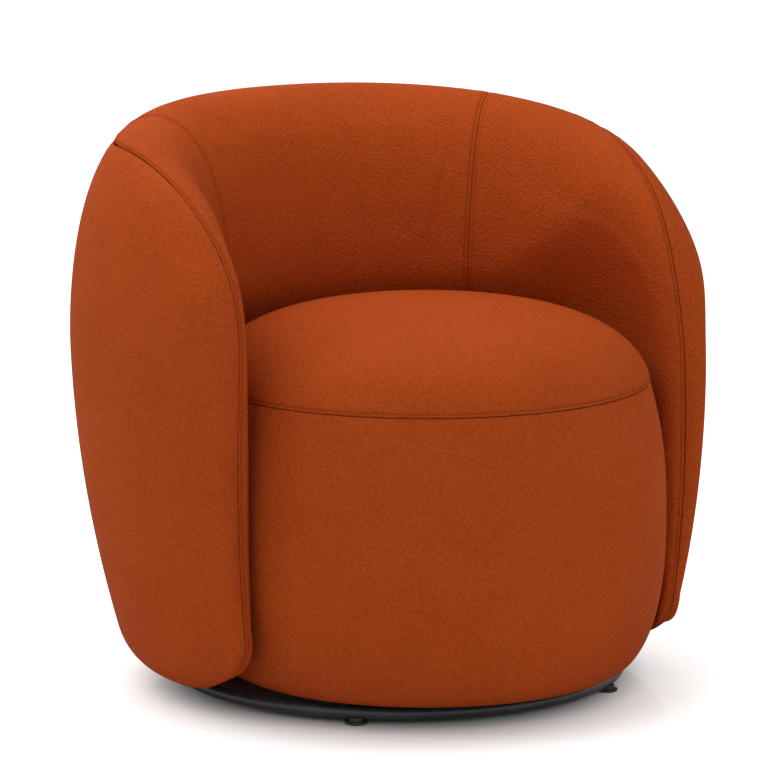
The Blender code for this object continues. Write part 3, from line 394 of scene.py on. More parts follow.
clothLook = {
    "top": (0.450, 0.0690, 0.0104),
    # The pit colour is painted shade in the hollows between pebbles, and also the darker dye
    "pitShadeAndDye": (0.250, 0.0365, 0.0060),
    # Painted shade in the seams' creases
    "crease": (0.100, 0.0140, 0.0030),
    "pebble": 0.0026,                 # sizes of the pebbles and of the grain on them, metres
    "grain": 0.0011,
    "wander": (0.9, 0.35),            # reach and fineness of the pebbles' wandering, in pebbles
    "pebbleEdge": (0.10, 0.75),
    "pebbleHeight": 0.62,
    "grainNoise": (3.0, 0.6),
    "grainHeight": 0.55,
    "pitShadeEdge": (0.60, 1.25),
    "pitShadeDepth": 0.44,
    "dyeNoise": (9.0, 3.0, 0.6),      # noises are scale, detail and roughness
    "dyeEdge": (0.30, 0.70),
    "dyeDepth": 0.14,
    "roughness": 0.80,
    "pitRoughness": 0.10,
    "gloss": 0.04,
    "bumpDepth": 0.00150,
    "bumpStrength": 0.90,
}


def makeCloth(name, look):
    # Pebbled cloth: smooth cells give the pebbles, finer noise the grain, slow noise the uneven dye;
    # painted shade darkens the hollows between pebbles and the seams' creases
    cloth = Finish(name)
    reach, fineness = look["wander"]
    wandering = cloth.warped(look["pebble"] * reach, fineness / look["pebble"])
    pebbles = cloth.cells(1 / look["pebble"], wandering)
    grain = cloth.noise(1 / look["grain"], *look["grainNoise"])
    height = (1.0 - pebbles.between(*look["pebbleEdge"]) * look["pebbleHeight"]
              + grain * look["grainHeight"])
    dye = cloth.noise(*look["dyeNoise"]).between(*look["dyeEdge"])
    # Painted shade: darker colour in the hollows between pebbles, plus random darker dye
    pitShadeAndDye = (1.0 - height.between(*look["pitShadeEdge"])) * look["pitShadeDepth"] + (1.0 - dye) * look["dyeDepth"]
    colour = cloth.mixed(pitShadeAndDye.clamped(), look["top"], look["pitShadeAndDye"])
    # Painted shade: the seams' creases darkened from the point attribute
    crease = cloth.node("ShaderNodeAttribute", {"attribute_name": "crease", "output": "Fac"})
    colour = cloth.mixed(crease.clamped(), colour, look["crease"])
    flatter = 1.0 - crease.clamped()
    cloth.set({
        "Base Color": colour,
        "Roughness": look["roughness"] + pitShadeAndDye * look["pitRoughness"],
        "Normal": cloth.bump(height * flatter, look["bumpStrength"], look["bumpDepth"]),
        "Specular IOR Level": look["gloss"],
    })
    return cloth.material


threadLook = {
    "light": (0.34, 0.048, 0.008),
    "dark": (0.20, 0.028, 0.005),
    "twist": (900.0, 1.0),            # scale and distortion
    "twistShare": 0.5,
    "roughness": 0.8,
    "gloss": 0.04,
    "bump": (0.3, 0.0002),            # bumps are strength and depth in metres
}


def makeThread(name, look):
    # Twisted thread: a fine slanted wave over the seam's darker orange
    thread = Finish(name)
    twist = thread.wave("DIAGONAL", *look["twist"])
    thread.set({
        "Base Color": thread.mixed(twist * look["twistShare"], look["light"], look["dark"]),
        "Roughness": look["roughness"],
        "Normal": thread.bump(twist, *look["bump"]),
        "Specular IOR Level": look["gloss"],
    })
    return thread.material


coatLook = {
    "colour": (0.030, 0.031, 0.033),
    "dusty": (0.075, 0.076, 0.080),
    "dust": 0.35,
    "dustNoise": (60.0, 4.0, 0.65),
    "dustEdge": (0.45, 0.75),
    "dustRoughness": 0.12,
    "peelNoise": (1400.0, 2.0, 0.5),
    "peelRoughness": 0.05,
    "roughness": 0.34,
    "metallic": 0.25,
    "bump": (0.18, 0.0003),
}


def makeSteel(name, look):
    # Satin powder coat: fine orange peel and a little dust
    steel = Finish(name)
    peel = steel.noise(*look["peelNoise"])
    dust = steel.noise(*look["dustNoise"]).between(*look["dustEdge"])
    steel.set({
        "Base Color": steel.mixed(dust * look["dust"], look["colour"], look["dusty"]),
        "Roughness": look["roughness"] + dust * look["dustRoughness"] + peel * look["peelRoughness"],
        "Metallic": look["metallic"],
        "Normal": steel.bump(peel, *look["bump"]),
    })
    return steel.material


bareSteelLook = {
    "stretch": (9.0, 900.0, 900.0),
    "markNoise": (1.0, 3.0, 0.6),
    "markRoughness": 0.14,
    "patchNoise": (45.0, 4.0, 0.6),
    "patchEdge": (0.40, 0.72),
    "patchShare": 0.5,
    "patchRoughness": 0.10,
    "bump": (0.15, 0.0002),
}


def makeBrushed(name, colour, dull, roughness):
    # Plated or plain steel: stretched noise gives the rolling marks, slow noise the dull patches
    look = bareSteelLook
    steel = Finish(name)
    marks = steel.noise(*look["markNoise"], steel.stretched(look["stretch"]))
    patch = steel.noise(*look["patchNoise"]).between(*look["patchEdge"])
    steel.set({
        "Base Color": steel.mixed(patch * look["patchShare"], colour, dull),
        "Roughness": roughness + marks * look["markRoughness"] + patch * look["patchRoughness"],
        "Metallic": 1.0,
        "Normal": steel.bump(marks, *look["bump"]),
    })
    return steel.material


plywoodLook = {
    "light": (0.60, 0.43, 0.25),
    "dark": (0.38, 0.24, 0.12),
    "stretch": (6.0, 60.0, 20.0),
    "grainNoise": (1.5, 6.0, 0.65),
    "grainEdge": (0.35, 0.70),
    "grainShare": 0.6,
    "fibreNoise": (40.0, 2.0, 0.5),
    "fibreShare": 0.25,
    "plies": (210.0, 0.3),            # scale and distortion
    "plyEdge": (0.55, 0.95),
    "plyShare": 0.25,
    "roughness": 0.62,
    "darkRoughness": 0.12,
    "bump": (0.2, 0.0004),
}


def makePlywood(name, look):
    # Birch board: rings stretched along the sheet, with darker glue lines by height
    board = Finish(name)
    sheet = board.stretched(look["stretch"])
    grain = board.noise(*look["grainNoise"], sheet)
    fibre = board.noise(*look["fibreNoise"], sheet)
    plies = board.wave("Z", *look["plies"])
    tone = (grain.between(*look["grainEdge"]) * look["grainShare"] + fibre * look["fibreShare"]
            + plies.between(*look["plyEdge"]) * look["plyShare"]).clamped()
    board.set({
        "Base Color": board.mixed(tone, look["light"], look["dark"]),
        "Roughness": look["roughness"] + tone * look["darkRoughness"],
        "Normal": board.bump(fibre, *look["bump"]),
    })
    return board.material


liningLook = {
    "dark": (0.006, 0.006, 0.007),
    "light": (0.020, 0.020, 0.022),
    "weave": 320.0,
    "roughness": 0.88,
    "bump": (0.4, 0.0003),
}


def makeWeave(name, look):
    # Thin black lining: two crossed sine waves, w = (sin x + sin y) / 2
    lining = Finish(name)
    weave = (lining.wave("X", look["weave"]) + lining.wave("Y", look["weave"])) * 0.5
    lining.set({
        "Base Color": lining.mixed(weave, look["dark"], look["light"]),
        "Roughness": look["roughness"],
        "Normal": lining.bump(weave, *look["bump"]),
    })
    return lining.material


plasticLook = {
    "colour": (0.018, 0.018, 0.019),
    "scuffed": (0.045, 0.045, 0.047),
    "scuffNoise": (120.0, 4.0, 0.7),
    "scuffEdge": (0.50, 0.75),
    "scuffRoughness": 0.18,
    "grainNoise": (1800.0, 2.0, 0.5),
    "grainRoughness": 0.04,
    "roughness": 0.42,
    "bump": (0.2, 0.0002),
}


def makePlastic(name, look):
    # Moulded plastic: a very fine texture with slight scuffing
    plastic = Finish(name)
    grain = plastic.noise(*look["grainNoise"])
    scuff = plastic.noise(*look["scuffNoise"]).between(*look["scuffEdge"])
    plastic.set({
        "Base Color": plastic.mixed(scuff, look["colour"], look["scuffed"]),
        "Roughness": look["roughness"] + scuff * look["scuffRoughness"] + grain * look["grainRoughness"],
        "Normal": plastic.bump(grain, *look["bump"]),
    })
    return plastic.material


orangeCloth = makeCloth("orange_pebbled_cloth", clothLook)
sewingThread = makeThread("orange_thread", threadLook)
blackSteel = makeSteel("black_powder_coat", coatLook)
zincSteel = makeBrushed("zinc_plate", (0.52, 0.53, 0.55), (0.33, 0.34, 0.36), 0.30)
brightSteel = makeBrushed("bright_steel", (0.60, 0.61, 0.63), (0.42, 0.43, 0.45), 0.20)
blackPlastic = makePlastic("black_glide_plastic", plasticLook)
blackLining = makeWeave("black_lining", liningLook)
birchPly = makePlywood("birch_plywood", plywoodLook)

nodeFinish = {
    "base_ring": blackSteel, "base_bar": blackSteel, "base_half_bar": blackSteel,
    "glide": blackPlastic, "swivel": zincSteel, "lower_screw": brightSteel, "upper_screw": brightSteel,
    "ball_cage": brightSteel, "seat_board": birchPly, "seat_rail": birchPly, "seat_post": birchPly,
    "seat_spring": brightSteel, "dust_cover": blackLining, "shell_dust_cover": blackLining,
    "shell_base_rib": birchPly, "shell_middle_rib": birchPly, "shell_top_rib": birchPly,
    "shell_lower_post": birchPly, "shell_upper_post": birchPly, "joining_bolt": brightSteel,
}


def dressNodes():
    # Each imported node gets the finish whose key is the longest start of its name
    for name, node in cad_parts.items():
        fits = [key for key in nodeFinish if name.startswith(key)]
        if fits:
            node.data.materials.clear()
            node.data.materials.append(nodeFinish[max(fits, key=len)])


dressNodes()


# Meshes from grids

def gridFaces(rows, columns, start=0, flipped=False, wrapped=False):
    # Quads between rows i, i+1 and columns j, j+1 of a grid of points; wrapped joins the last row
    # to the first
    index = start + np.arange(rows * columns).reshape(rows, columns)
    if wrapped:
        index = np.concatenate([index, index[:1]])
    corners = (index[:-1, :-1], index[1:, :-1], index[1:, 1:], index[:-1, 1:])
    faces = np.stack([corner.ravel() for corner in corners], axis=-1)
    return faces[:, ::-1] if flipped else faces


def edgeFaces(rows, columns, wrapped):
    # Quads that join the border of the front grid to the border of the back grid
    index = np.arange(rows * columns).reshape(rows, columns)
    if wrapped:
        loops = [np.append(index[:, 0], index[0, 0]), np.append(index[:, -1], index[0, -1])[::-1]]
    else:
        loops = [np.concatenate([index[:-1, 0], index[-1, :-1], index[:0:-1, -1], index[0, ::-1]])]
    back = rows * columns
    faces = [np.stack([loop[:-1], loop[:-1] + back, loop[1:] + back, loop[1:]], axis=-1) for loop in loops]
    return np.concatenate(faces)


def makeMesh(name, points, faces, material, crease=None):
    # One closed, smooth-shaded object at the origin, with the seams' painted crease shade kept at its
    # points
    mesh = bpy.data.meshes.new(name)
    mesh.from_pydata(points.reshape(-1, 3).tolist(), [], faces.tolist())
    if crease is not None:
        layer = mesh.attributes.new("crease", "FLOAT", "POINT")
        layer.data.foreach_set("value", crease.ravel().astype(np.float32))
    mesh.materials.append(material)
    piece = bpy.data.objects.new(name, mesh)
    bpy.context.scene.collection.objects.link(piece)
    closeSeams(mesh)
    mesh.shade_smooth()
    return piece


def closeSeams(mesh, gap=0.00002):
    # Points nearer than the gap become one, so poles and seams close, and all faces turn outwards
    shape = bmesh.new()
    shape.from_mesh(mesh)
    bmesh.ops.remove_doubles(shape, verts=shape.verts, dist=gap)
    bmesh.ops.dissolve_degenerate(shape, edges=shape.edges, dist=gap)
    bmesh.ops.recalc_face_normals(shape, faces=shape.faces)
    shape.to_mesh(mesh)
    shape.free()
    mesh.update()


def makeSheet(name, front, thickness, material, crease, wrapped=False):
    # back = front - n * thickness; the two grids and their border close the piece
    back = front - gridNormal(front, wrapped) * thickness[..., None]
    rows, columns = front.shape[:2]
    points = np.concatenate([front.reshape(-1, 3), back.reshape(-1, 3)])
    faces = np.concatenate([
        gridFaces(rows, columns, wrapped=wrapped),
        gridFaces(rows, columns, rows * columns, True, wrapped),
        edgeFaces(rows, columns, wrapped),
    ])
    shade = np.concatenate([crease.ravel(), crease.ravel()])
    return makeMesh(name, points, faces, material, shade)


# Swelling the padding with Blender's cloth

swelling = {
    "pressure": 4.0,
    "frames": 20,
    "stiffness": 12.0,
    "bending": 1.5,
    "quality": 4,
    "cell": 0.011,                    # size of the sparse grid's cells
    "inset": 0.0035,                  # how far under the surface the cloth starts
    "spread": 0.030,                  # how far from a seam the whole inset is reached
    "fade": 0.022,                    # how far from a seam the swelling fades in
    "held": 0.0030,                   # points nearer to a seam than this are pinned
    "sink": 0.0010,                   # the most that cloth may end under the surface
    "softness": 0.0008,               # how gently the allowance holds the cloth back
}


def solveCloth(points, held, wrapped):
    # Blender's cloth on the grid, with the held points pinned and no gravity
    rows, columns = points.shape[:2]
    mesh = bpy.data.meshes.new("swelling")
    mesh.from_pydata(points.reshape(-1, 3).tolist(), [], gridFaces(rows, columns, wrapped=wrapped).tolist())
    sheet = bpy.data.objects.new("swelling", mesh)
    bpy.context.scene.collection.objects.link(sheet)
    pins = sheet.vertex_groups.new(name="pins")
    pins.add(np.flatnonzero(held.ravel()).tolist(), 1.0, "REPLACE")
    cloth = sheet.modifiers.new("Cloth", "CLOTH")
    settings = cloth.settings
    settings.vertex_group_mass = "pins"
    settings.quality = swelling["quality"]
    settings.tension_stiffness = swelling["stiffness"]
    settings.compression_stiffness = swelling["stiffness"]
    settings.shear_stiffness = swelling["stiffness"] / 2
    settings.bending_stiffness = swelling["bending"]
    settings.use_pressure = True
    settings.uniform_pressure_force = swelling["pressure"]
    settings.effector_weights.gravity = 0.0
    for number in range(1, swelling["frames"] + 1):
        bpy.context.scene.frame_set(number)
    solved = sheet.evaluated_get(bpy.context.evaluated_depsgraph_get()).to_mesh()
    moved = np.empty(points.size, np.float32)
    solved.vertices.foreach_get("co", moved)
    bpy.data.objects.remove(sheet)
    bpy.context.scene.frame_set(1)
    return moved.reshape(points.shape).astype(float)


def sparseLines(points, wrapped):
    # Lines of the grid about one cell apart, and the weights that carry heights back to every line:
    # w = exp(-(gap / cell)^2), each row of w adding up to one
    steps = np.linalg.norm(np.diff(points, axis=0), axis=-1).mean(axis=1)
    run = np.concatenate([[0.0], np.cumsum(steps)])
    count = max(int(run[-1] / swelling["cell"]), 4)
    kept = np.unique(np.searchsorted(run, np.linspace(0.0, run[-1], count)))
    gap = np.abs(run[:, None] - run[None, kept])
    if wrapped:
        gap = np.minimum(gap, run[-1] + steps[0] - gap)
    weight = np.exp(-(gap / swelling["cell"]) ** 2) + 1e-12
    return kept, weight / weight.sum(axis=1, keepdims=True)


def swell(surface, distance, allowance, wrapped=False):
    # Start inset * (1 - exp(-(d / spread)^2)) under the surface, let the cloth swell, and let no point
    # stand more than its allowance over the surface: over = allowance - s ln(1 + exp((allowance - h) / s))
    normal = gridNormal(surface, wrapped)
    ease = smoothStep(0.0, swelling["fade"], distance)
    inset = swelling["inset"] * (1 - np.exp(-(distance / swelling["spread"]) ** 2))
    start = surface - normal * inset[..., None]
    rows, rowWeight = sparseLines(surface, wrapped)
    columns, columnWeight = sparseLines(surface.transpose(1, 0, 2), False)
    few = np.ix_(rows, columns)
    held = distance[few] < swelling["held"]
    held[:, [0, -1]] = True
    if not wrapped:
        held[[0, -1]] = True
    moved = solveCloth(start[few], held, wrapped)
    height = np.nan_to_num(np.sum((moved - surface[few]) * normal[few], axis=-1))
    print(f"  {held.size} points, {height.min() * 1000:.1f} to {height.max() * 1000:.1f} mm, "
          f"middle {np.median(height) * 1000:.1f} mm")
    height = rowWeight @ height @ columnWeight.T
    softness = swelling["softness"]
    over = allowance - np.log1p(np.exp(np.clip((allowance - height) / softness, -30, 30))) * softness
    return surface + normal * (np.maximum(over, -swelling["sink"]) * ease)[..., None]


# Seams

seamShape = {
    "depth": 0.0010,
    "width": 0.0012,
    "draw": 0.0017,                   # the broad hollow that the seam pulls in
    "drawWidth": 0.009,
    "sideDepth": 0.7,                 # the side seams' and the seat seam's share of the rim seam's depth
    "seatDepth": 0.25,
    "stitchInset": 0.0050,
    "stitchDepth": 0.0007,
    "stitchWidth": 0.0011,
    # Strengths of the painted shade in the seams' creases and along the stitches
    "stitchShade": 0.24,
    "rimShade": 0.34,
    "sideShade": 0.25,
    "seatShade": 0.12,
    "pucker": 0.00028,
    "puckerAt": 0.004,                # distance from the seam where the gathers are deepest
    "puckerWidth": 0.009,
    "puckerWaves": ((430.0, 1.0, 0.0), (263.0, 0.7, 1.7), (611.0, 0.6, 0.4)),  # rate, size, start
    "sideReach": 0.3,                 # about how many metres one unit of place is at a side seam
}

seamRows = np.array([0.00015, 0.0006, 0.0011, 0.0017, 0.0024, 0.0032, 0.0040, 0.0045, 0.0050,
                     0.0055, 0.0062, 0.0075, 0.0100, 0.0135, 0.0180, 0.0235])


def stitchRow(distance):
    # exp(-((d - inset) / width)^2)
    return np.exp(-((distance - seamShape["stitchInset"]) / seamShape["stitchWidth"]) ** 2)


def seamDip(distance, stitched):
    # dip = depth exp(-(d/w)^2) + draw exp(-(d/W)^2) + depth of the stitches * stitchRow
    groove = seamShape["depth"] * np.exp(-(distance / seamShape["width"]) ** 2)
    broad = seamShape["draw"] * np.exp(-(distance / seamShape["drawWidth"]) ** 2)
    return groove + broad + stitched * seamShape["stitchDepth"] * stitchRow(distance)


def seamShade(distance, stitched, strength):
    # Painted shade: the dark line in the crease, strength exp(-(d/w)^2), and a faint one along the stitches
    crease = strength * np.exp(-(distance / seamShape["width"]) ** 2)
    return crease + seamShape["stitchShade"] * stitched * stitchRow(distance)


def seamPucker(distance, run):
    # Small gathers that fade out from the seam: a exp(-((d - at)/w)^2) times three waves along it
    waves = sum(size * np.sin(run * rate + start) for rate, size, start in seamShape["puckerWaves"])
    away = (distance - seamShape["puckerAt"]) / seamShape["puckerWidth"]
    return seamShape["pucker"] * np.exp(-away ** 2) * waves


# The shell: outer panel, back pad and two arm pads

shellGrid = {
    "armRows": 120,
    "backRows": 96,
    "panelBackRows": 61,
    "padColumns": 74,
    "panelColumns": 58,
    "armEase": 1.5,                   # powers that crowd the rows towards the nose's foot
    "panelEase": 1.35,
    "seamReach": 0.5,                 # the most of a unit of place that the seam's rows may take
    "outerEnd": 2.90,                 # the places where the covers end under the wall
    "innerEnd": 2.70,
    "noseEnd": 2.97,
    "noseFrom": (0.80, 0.94),
}

shellCover = {
    "padThickness": 0.007,
    "panelThickness": 0.006,
    "thinOver": 0.10,                 # a cover thins over this length to the nose's foot,
    "thinnest": 0.03,                 # down to this share
    "padSwelling": 0.0012,            # how far the cloth may stand proud
    "panelSwelling": 0.0010,
    "footHold": 0.05,                 # metres per unit of place at the covers' ends
    "noseHold": 0.06,                 # the cloth is held over this length at the nose's foot
    "dipFade": 0.04,                  # the seams and their painted shade run out over these lengths there
    "shadeFade": 0.02,
    "contactPlace": -0.3,             # further in and lower than these, a pad faces the seat
    "contactHeight": 0.52,
}


def armStations(columns):
    # Rows at set distances from the back pad's seam, then evenly on, closer towards the nose's foot
    scale = alongScale(np.full_like(columns, splitStation), columns)
    near = splitStation + seamRows[:, None] / scale
    t = np.linspace(0.0, 1.0, shellGrid["armRows"] + 1)[1:, None]
    t = 1 - (1 - t) ** shellGrid["armEase"]
    return np.concatenate([near, near[-1:] + (1 - near[-1:]) * t])


def backStations(columns):
    # Rows at set distances from both side seams, and evenly between them
    scale = alongScale(np.full_like(columns, splitStation), columns)
    near = splitStation - seamRows[::-1, None] / scale
    t = np.linspace(0.0, 1.0, shellGrid["backRows"] + 1)[1:-1, None]
    middle = -near[:1] + (near[:1] + near[:1]) * t
    return np.concatenate([-near[::-1], middle, near])


def panelStations(columns):
    # Both arms and the back in one sheet, evenly spaced, closer towards the two feet
    rows = 2 * shellGrid["armRows"] + shellGrid["panelBackRows"]
    t = np.linspace(-1.0, 1.0, rows)[:, None]
    return np.sign(t) * (1 - (1 - np.abs(t)) ** shellGrid["panelEase"]) + np.zeros_like(columns)[None, :]


def endPlaces(stations, side):
    # Where the cover ends under the wall: closed up at the nose's foot
    nose = smoothStep(*shellGrid["noseFrom"], np.abs(stations))
    return blend(shellGrid["outerEnd"] if side > 0 else shellGrid["innerEnd"], shellGrid["noseEnd"], nose)


def rowPlaces(stations, side, columns):
    # Columns at set distances from the rim seam, then evenly on to the end under the wall
    seam = seamPlace(stations[:, -1])
    scale = np.maximum(acrossScale(stations[:, -1], seam), seamRows[-1] / shellGrid["seamReach"])
    near = seam[:, None] + side * seamRows / scale[:, None]
    t = np.linspace(0.0, 1.0, columns + 1)[1:]
    last = near[:, -1:]
    end = side * endPlaces(stations[:, -1:], side)
    return np.concatenate([near, last + (end - last) * t], axis=1)


def shellGridOf(makeStations, side, columns):
    # Stations and places depend on each other, so each is worked out twice, from half a roll inwards
    count = len(seamRows) + columns
    stations = makeStations(np.full(count, side * 0.5))
    for repeat in range(2):
        places = rowPlaces(stations, side, columns)
        stations = makeStations(places[len(places) // 2])
    return stations, places


def shellFront(stations, places, sideSeams, swollen):
    # The cover's outer face, the painted shade along the seams, and the distance from the nose's foot
    seam = seamPlace(stations)
    rimGap = np.abs(places - seam) * acrossScale(stations, seam)
    sideGap = np.full_like(places, 1.0)
    for sideSeam in sideSeams:
        sideGap = np.minimum(sideGap, np.abs(stations - sideSeam) * alongScale(stations, places))
    surface = shellSurface(stations, places)
    onPad = float(places.mean() < 0)
    foot = np.abs(np.abs(places) - endPlaces(stations, places.mean())) * shellCover["footHold"]
    tip = (1.0 - np.abs(stations)) * rimTotal
    nose = np.maximum(tip - shellCover["noseHold"], 0.0)
    border = np.minimum(np.minimum(rimGap, sideGap), np.minimum(foot, nose))
    facesSeat = (places < shellCover["contactPlace"]) & (surface[..., 2] < shellCover["contactHeight"])
    cover = swell(surface, border, np.where(facesSeat, 0.0, swollen))

    dip = np.maximum(seamDip(rimGap, onPad), seamDip(sideGap, onPad) * seamShape["sideDepth"])
    dip = dip + seamPucker(rimGap, np.abs(stations) * rimTotal)
    dip = dip + seamPucker(sideGap, places * seamShape["sideReach"])
    dip = dip * np.clip(tip / shellCover["dipFade"], 0.0, 1.0)
    cover = cover - gridNormal(cover) * dip[..., None]
    shade = np.maximum(seamShade(rimGap, onPad, seamShape["rimShade"]),
                       seamShade(sideGap, onPad, seamShape["sideShade"]))
    return cover, shade * np.clip(tip / shellCover["shadeFade"], 0.0, 1.0), tip


def thinned(thickness, tip):
    # thickness * tip / thinOver, held between its thinnest share and the whole
    return thickness * np.clip(tip / shellCover["thinOver"], shellCover["thinnest"], 1.0)


def makePad(name, node, makeStations, sideSeams, mirrored=False):
    # A pad on the wall's inner face, from the rim seam down to under the wall
    stations, places = shellGridOf(makeStations, -1, shellGrid["padColumns"])
    stations, places = stations[:, ::-1], places[:, ::-1]
    if mirrored:
        stations, places = -stations[::-1], places[::-1]
    cover, shade, tip = shellFront(stations, places, sideSeams, shellCover["padSwelling"])
    piece = makeSheet(name, cover, thinned(shellCover["padThickness"], tip), orangeCloth, shade)
    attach(piece, "seat")
    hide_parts(node)


def makeOuterPanel():
    # The wall's outer face in one sweep, from the rim seam down to under the wall
    stations, places = shellGridOf(panelStations, 1, shellGrid["panelColumns"])
    cover, shade, tip = shellFront(stations, places, (), shellCover["panelSwelling"])
    thickness = thinned(shellCover["panelThickness"], tip)
    piece = makeSheet("outer_cover", cover, thickness, orangeCloth, shade)
    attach(piece, "seat")
    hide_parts("outer_panel")


print("stage 3: the shell's covers")
makeOuterPanel()
makePad("back_cushioning", "back_pad", backStations, (-splitStation, splitStation))
makePad("arm_cushioning_right", "arm_pad_right", armStations, (splitStation,))
makePad("arm_cushioning_left", "arm_pad_left", armStations, (-splitStation,), mirrored=True)


# The seat: band and cushion

seatBand = {
    "around": 300,
    "rows": 84,
    "thickness": 0.012,
    "swelling": 0.0008,
    "hemWidth": 0.016,                # the hem's quarter ellipse under the drum
    "hemHeight": 0.0045,
    "hemSteps": 12,
    "footSteps": 900,                 # fine steps of the profile below and above its widest height
    "footEase": 2.5,
    "wallSteps": 400,
    "footHold": 0.6,
}

seatCrown = {
    "rows": 74,
    "profileSteps": 6000,
    "profileEase": 3,
    "thickness": 0.020,
    "thinOver": 0.04,                 # the cushion's cover thins over this length to its seam,
    "thinnest": 0.25,                 # down to this share
    "swelling": 0.0012,
    "pucker": 1.6,
}

seamParting = 0.00015                 # half the gap between the band and the crown at their seam


def drumRadius(height):
    # Below the widest height r = R - (R - foot) (1 - (1 - s^p)^q); above it R - (R - seam) s^t
    span = seat["widestHeight"] - seat["footHeight"]
    low = np.clip((seat["widestHeight"] - height) / span, 0.0, 1.0)
    p, q = seat["footShape"]
    sag = 1 - (1 - low ** p) ** q
    high = np.clip((height - seat["widestHeight"]) / (seat["seamHeight"] - seat["widestHeight"]), 0.0, 1.0)
    below = seat["radius"] - (seat["radius"] - seat["footRadius"]) * sag
    above = seat["radius"] - (seat["radius"] - seat["seamRadius"]) * high ** seat["topShape"]
    return np.where(height < seat["widestHeight"], below, above)


def evenProfile(radius, height, distances):
    # The profile's radius and height at the given distances along it, and its whole length
    run = np.concatenate([[0.0], np.cumsum(np.hypot(np.diff(radius), np.diff(height)))])
    return np.interp(distances, run, radius), np.interp(distances, run, height), run[-1]


def bandProfile():
    # From the hem, a quarter ellipse under the drum, up the drum's wall to the seam
    foot, widest = seat["footHeight"], seat["widestHeight"]
    fine = np.concatenate([
        foot + (widest - foot) * np.linspace(0, 1, seatBand["footSteps"]) ** seatBand["footEase"],
        np.linspace(widest, seat["seamHeight"] - seamParting, seatBand["wallSteps"])[1:]])
    hemRadius, hemHeight = seat["footRadius"] - seatBand["hemWidth"], foot + seatBand["hemHeight"]
    turn = np.linspace(0.0, math.pi / 2, seatBand["hemSteps"])
    underRadius = hemRadius + (seat["footRadius"] - hemRadius) * np.sin(turn)
    underHeight = foot + (hemHeight - foot) * np.cos(turn)
    radius = np.concatenate([underRadius[:-1], drumRadius(fine)])
    return radius, np.concatenate([underHeight[:-1], fine])


def makeSeatBand():
    # The profile turned about the drum's axis, with rows at set distances from the seam
    radius, height = bandProfile()
    total = evenProfile(radius, height, np.zeros(1))[2]
    even = np.linspace(0.0, total - seamRows[-1], seatBand["rows"])
    distances = np.concatenate([even[:-1], total - seamRows[::-1]])
    radius, height, _ = evenProfile(radius, height, distances)
    turn = np.linspace(0.0, 2 * math.pi, seatBand["around"], endpoint=False)[:, None]
    surface = np.stack([radius * np.cos(turn), seatY + radius * np.sin(turn), height + 0 * turn], axis=-1)
    gap = np.broadcast_to(total - distances, surface.shape[:2])
    foot = np.broadcast_to(distances, surface.shape[:2])
    border = np.minimum(gap, foot * seatBand["footHold"])
    cover = swell(surface, border, np.full(gap.shape, seatBand["swelling"]), wrapped=True)
    dip = seamDip(gap, 0.0) * seamShape["seatDepth"] + seamPucker(gap, turn * seat["radius"])
    cover = cover - gridNormal(cover, True) * dip[..., None]
    thickness = np.full(gap.shape, seatBand["thickness"])
    shade = seamShade(gap, 0.0, seamShape["seatShade"])
    piece = makeSheet("seat_wrap", cover, thickness, orangeCloth, shade, wrapped=True)
    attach(piece, "seat")
    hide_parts("seat_band")


def discGrid(steps):
    # Concentric map of a square onto a disc: r = max(|a|, |b|), angle = pi/4 * smaller / larger
    a, b = np.meshgrid(steps, steps, indexing="ij")
    wide = np.abs(a) >= np.abs(b)
    larger = np.where(wide, a, b)
    ratio = np.where(wide, b, a) / np.where(np.abs(larger) < 1e-9, 1.0, larger)
    turn = math.pi / 4 * ratio
    x = larger * np.where(wide, np.cos(turn), np.sin(turn))
    y = larger * np.where(wide, np.sin(turn), np.cos(turn))
    return x, y


def makeSeatCushion():
    # The crown: height = seam + rise (1 - (r/R)^p)^q, laid out by its length from the seam
    share = 1 - np.linspace(0.0, 1.0, seatCrown["profileSteps"]) ** seatCrown["profileEase"]
    p, q = seat["crownShape"]
    rise = seat["crownHeight"] - seat["seamHeight"]
    radius = seat["seamRadius"] * share
    height = seat["seamHeight"] + seamParting + rise * (1 - share ** p) ** q
    total = evenProfile(radius, height, np.zeros(1))[2]
    inner = np.linspace(0.0, 1.0 - seamRows[-1] / total, seatCrown["rows"] // 2 + 1)
    half = np.concatenate([inner[:-1], 1 - seamRows[::-1] / total])
    x, y = discGrid(np.concatenate([-half[:0:-1], half]))
    reach = np.hypot(x, y)
    gap = (1 - reach) * total
    r, z, _ = evenProfile(radius, height, gap.ravel())
    r, z = r.reshape(gap.shape), z.reshape(gap.shape)
    unit = np.maximum(reach, 1e-9)
    surface = np.stack([r * x / unit, seatY + r * y / unit, z], axis=-1)
    cover = swell(surface, gap, np.full(gap.shape, seatCrown["swelling"]))
    pucker = seamPucker(gap, np.arctan2(y, x) * seat["radius"]) * seatCrown["pucker"]
    dip = seamDip(gap, 1.0) * seamShape["seatDepth"] + pucker
    cover = cover - gridNormal(cover) * dip[..., None]
    thickness = seatCrown["thickness"] * np.clip(gap / seatCrown["thinOver"], seatCrown["thinnest"], 1.0)
    shade = seamShade(gap, 1.0, seamShape["seatShade"])
    piece = makeSheet("seat_crown", cover, thickness, orangeCloth, shade)
    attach(piece, "seat")
    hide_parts("seat_cushion")


print("stage 4: the seat's covers")
makeSeatBand()
makeSeatCushion()


# Top stitching

stitching = {
    "length": 0.0034,
    "gap": 0.0012,
    "width": 0.0009,
    "lift": 0.00012,                  # of a thread's middle over the cloth
    "sides": 5,
    "along": (-0.5, -0.32, 0.32, 0.5),    # a stitch's four rings: place, radius and sink
    "radius": (0.35, 1.0, 1.0, 0.35),
    "sink": (-0.5, 0.0, 0.0, -0.5),
    "rimEnd": 0.965,                  # the stations where the rim's stitches end,
    "cornerGap": 0.006,               # and where they stop beside a side seam
    "sideFrom": 0.03,                 # the places between which a side seam is stitched
    "sideTo": -1.75,
    "seatOut": 0.001,
    "rimSteps": 700,
    "sideSteps": 400,
    "seatSteps": 900,
}
stitchSize = len(stitching["along"]) * stitching["sides"]


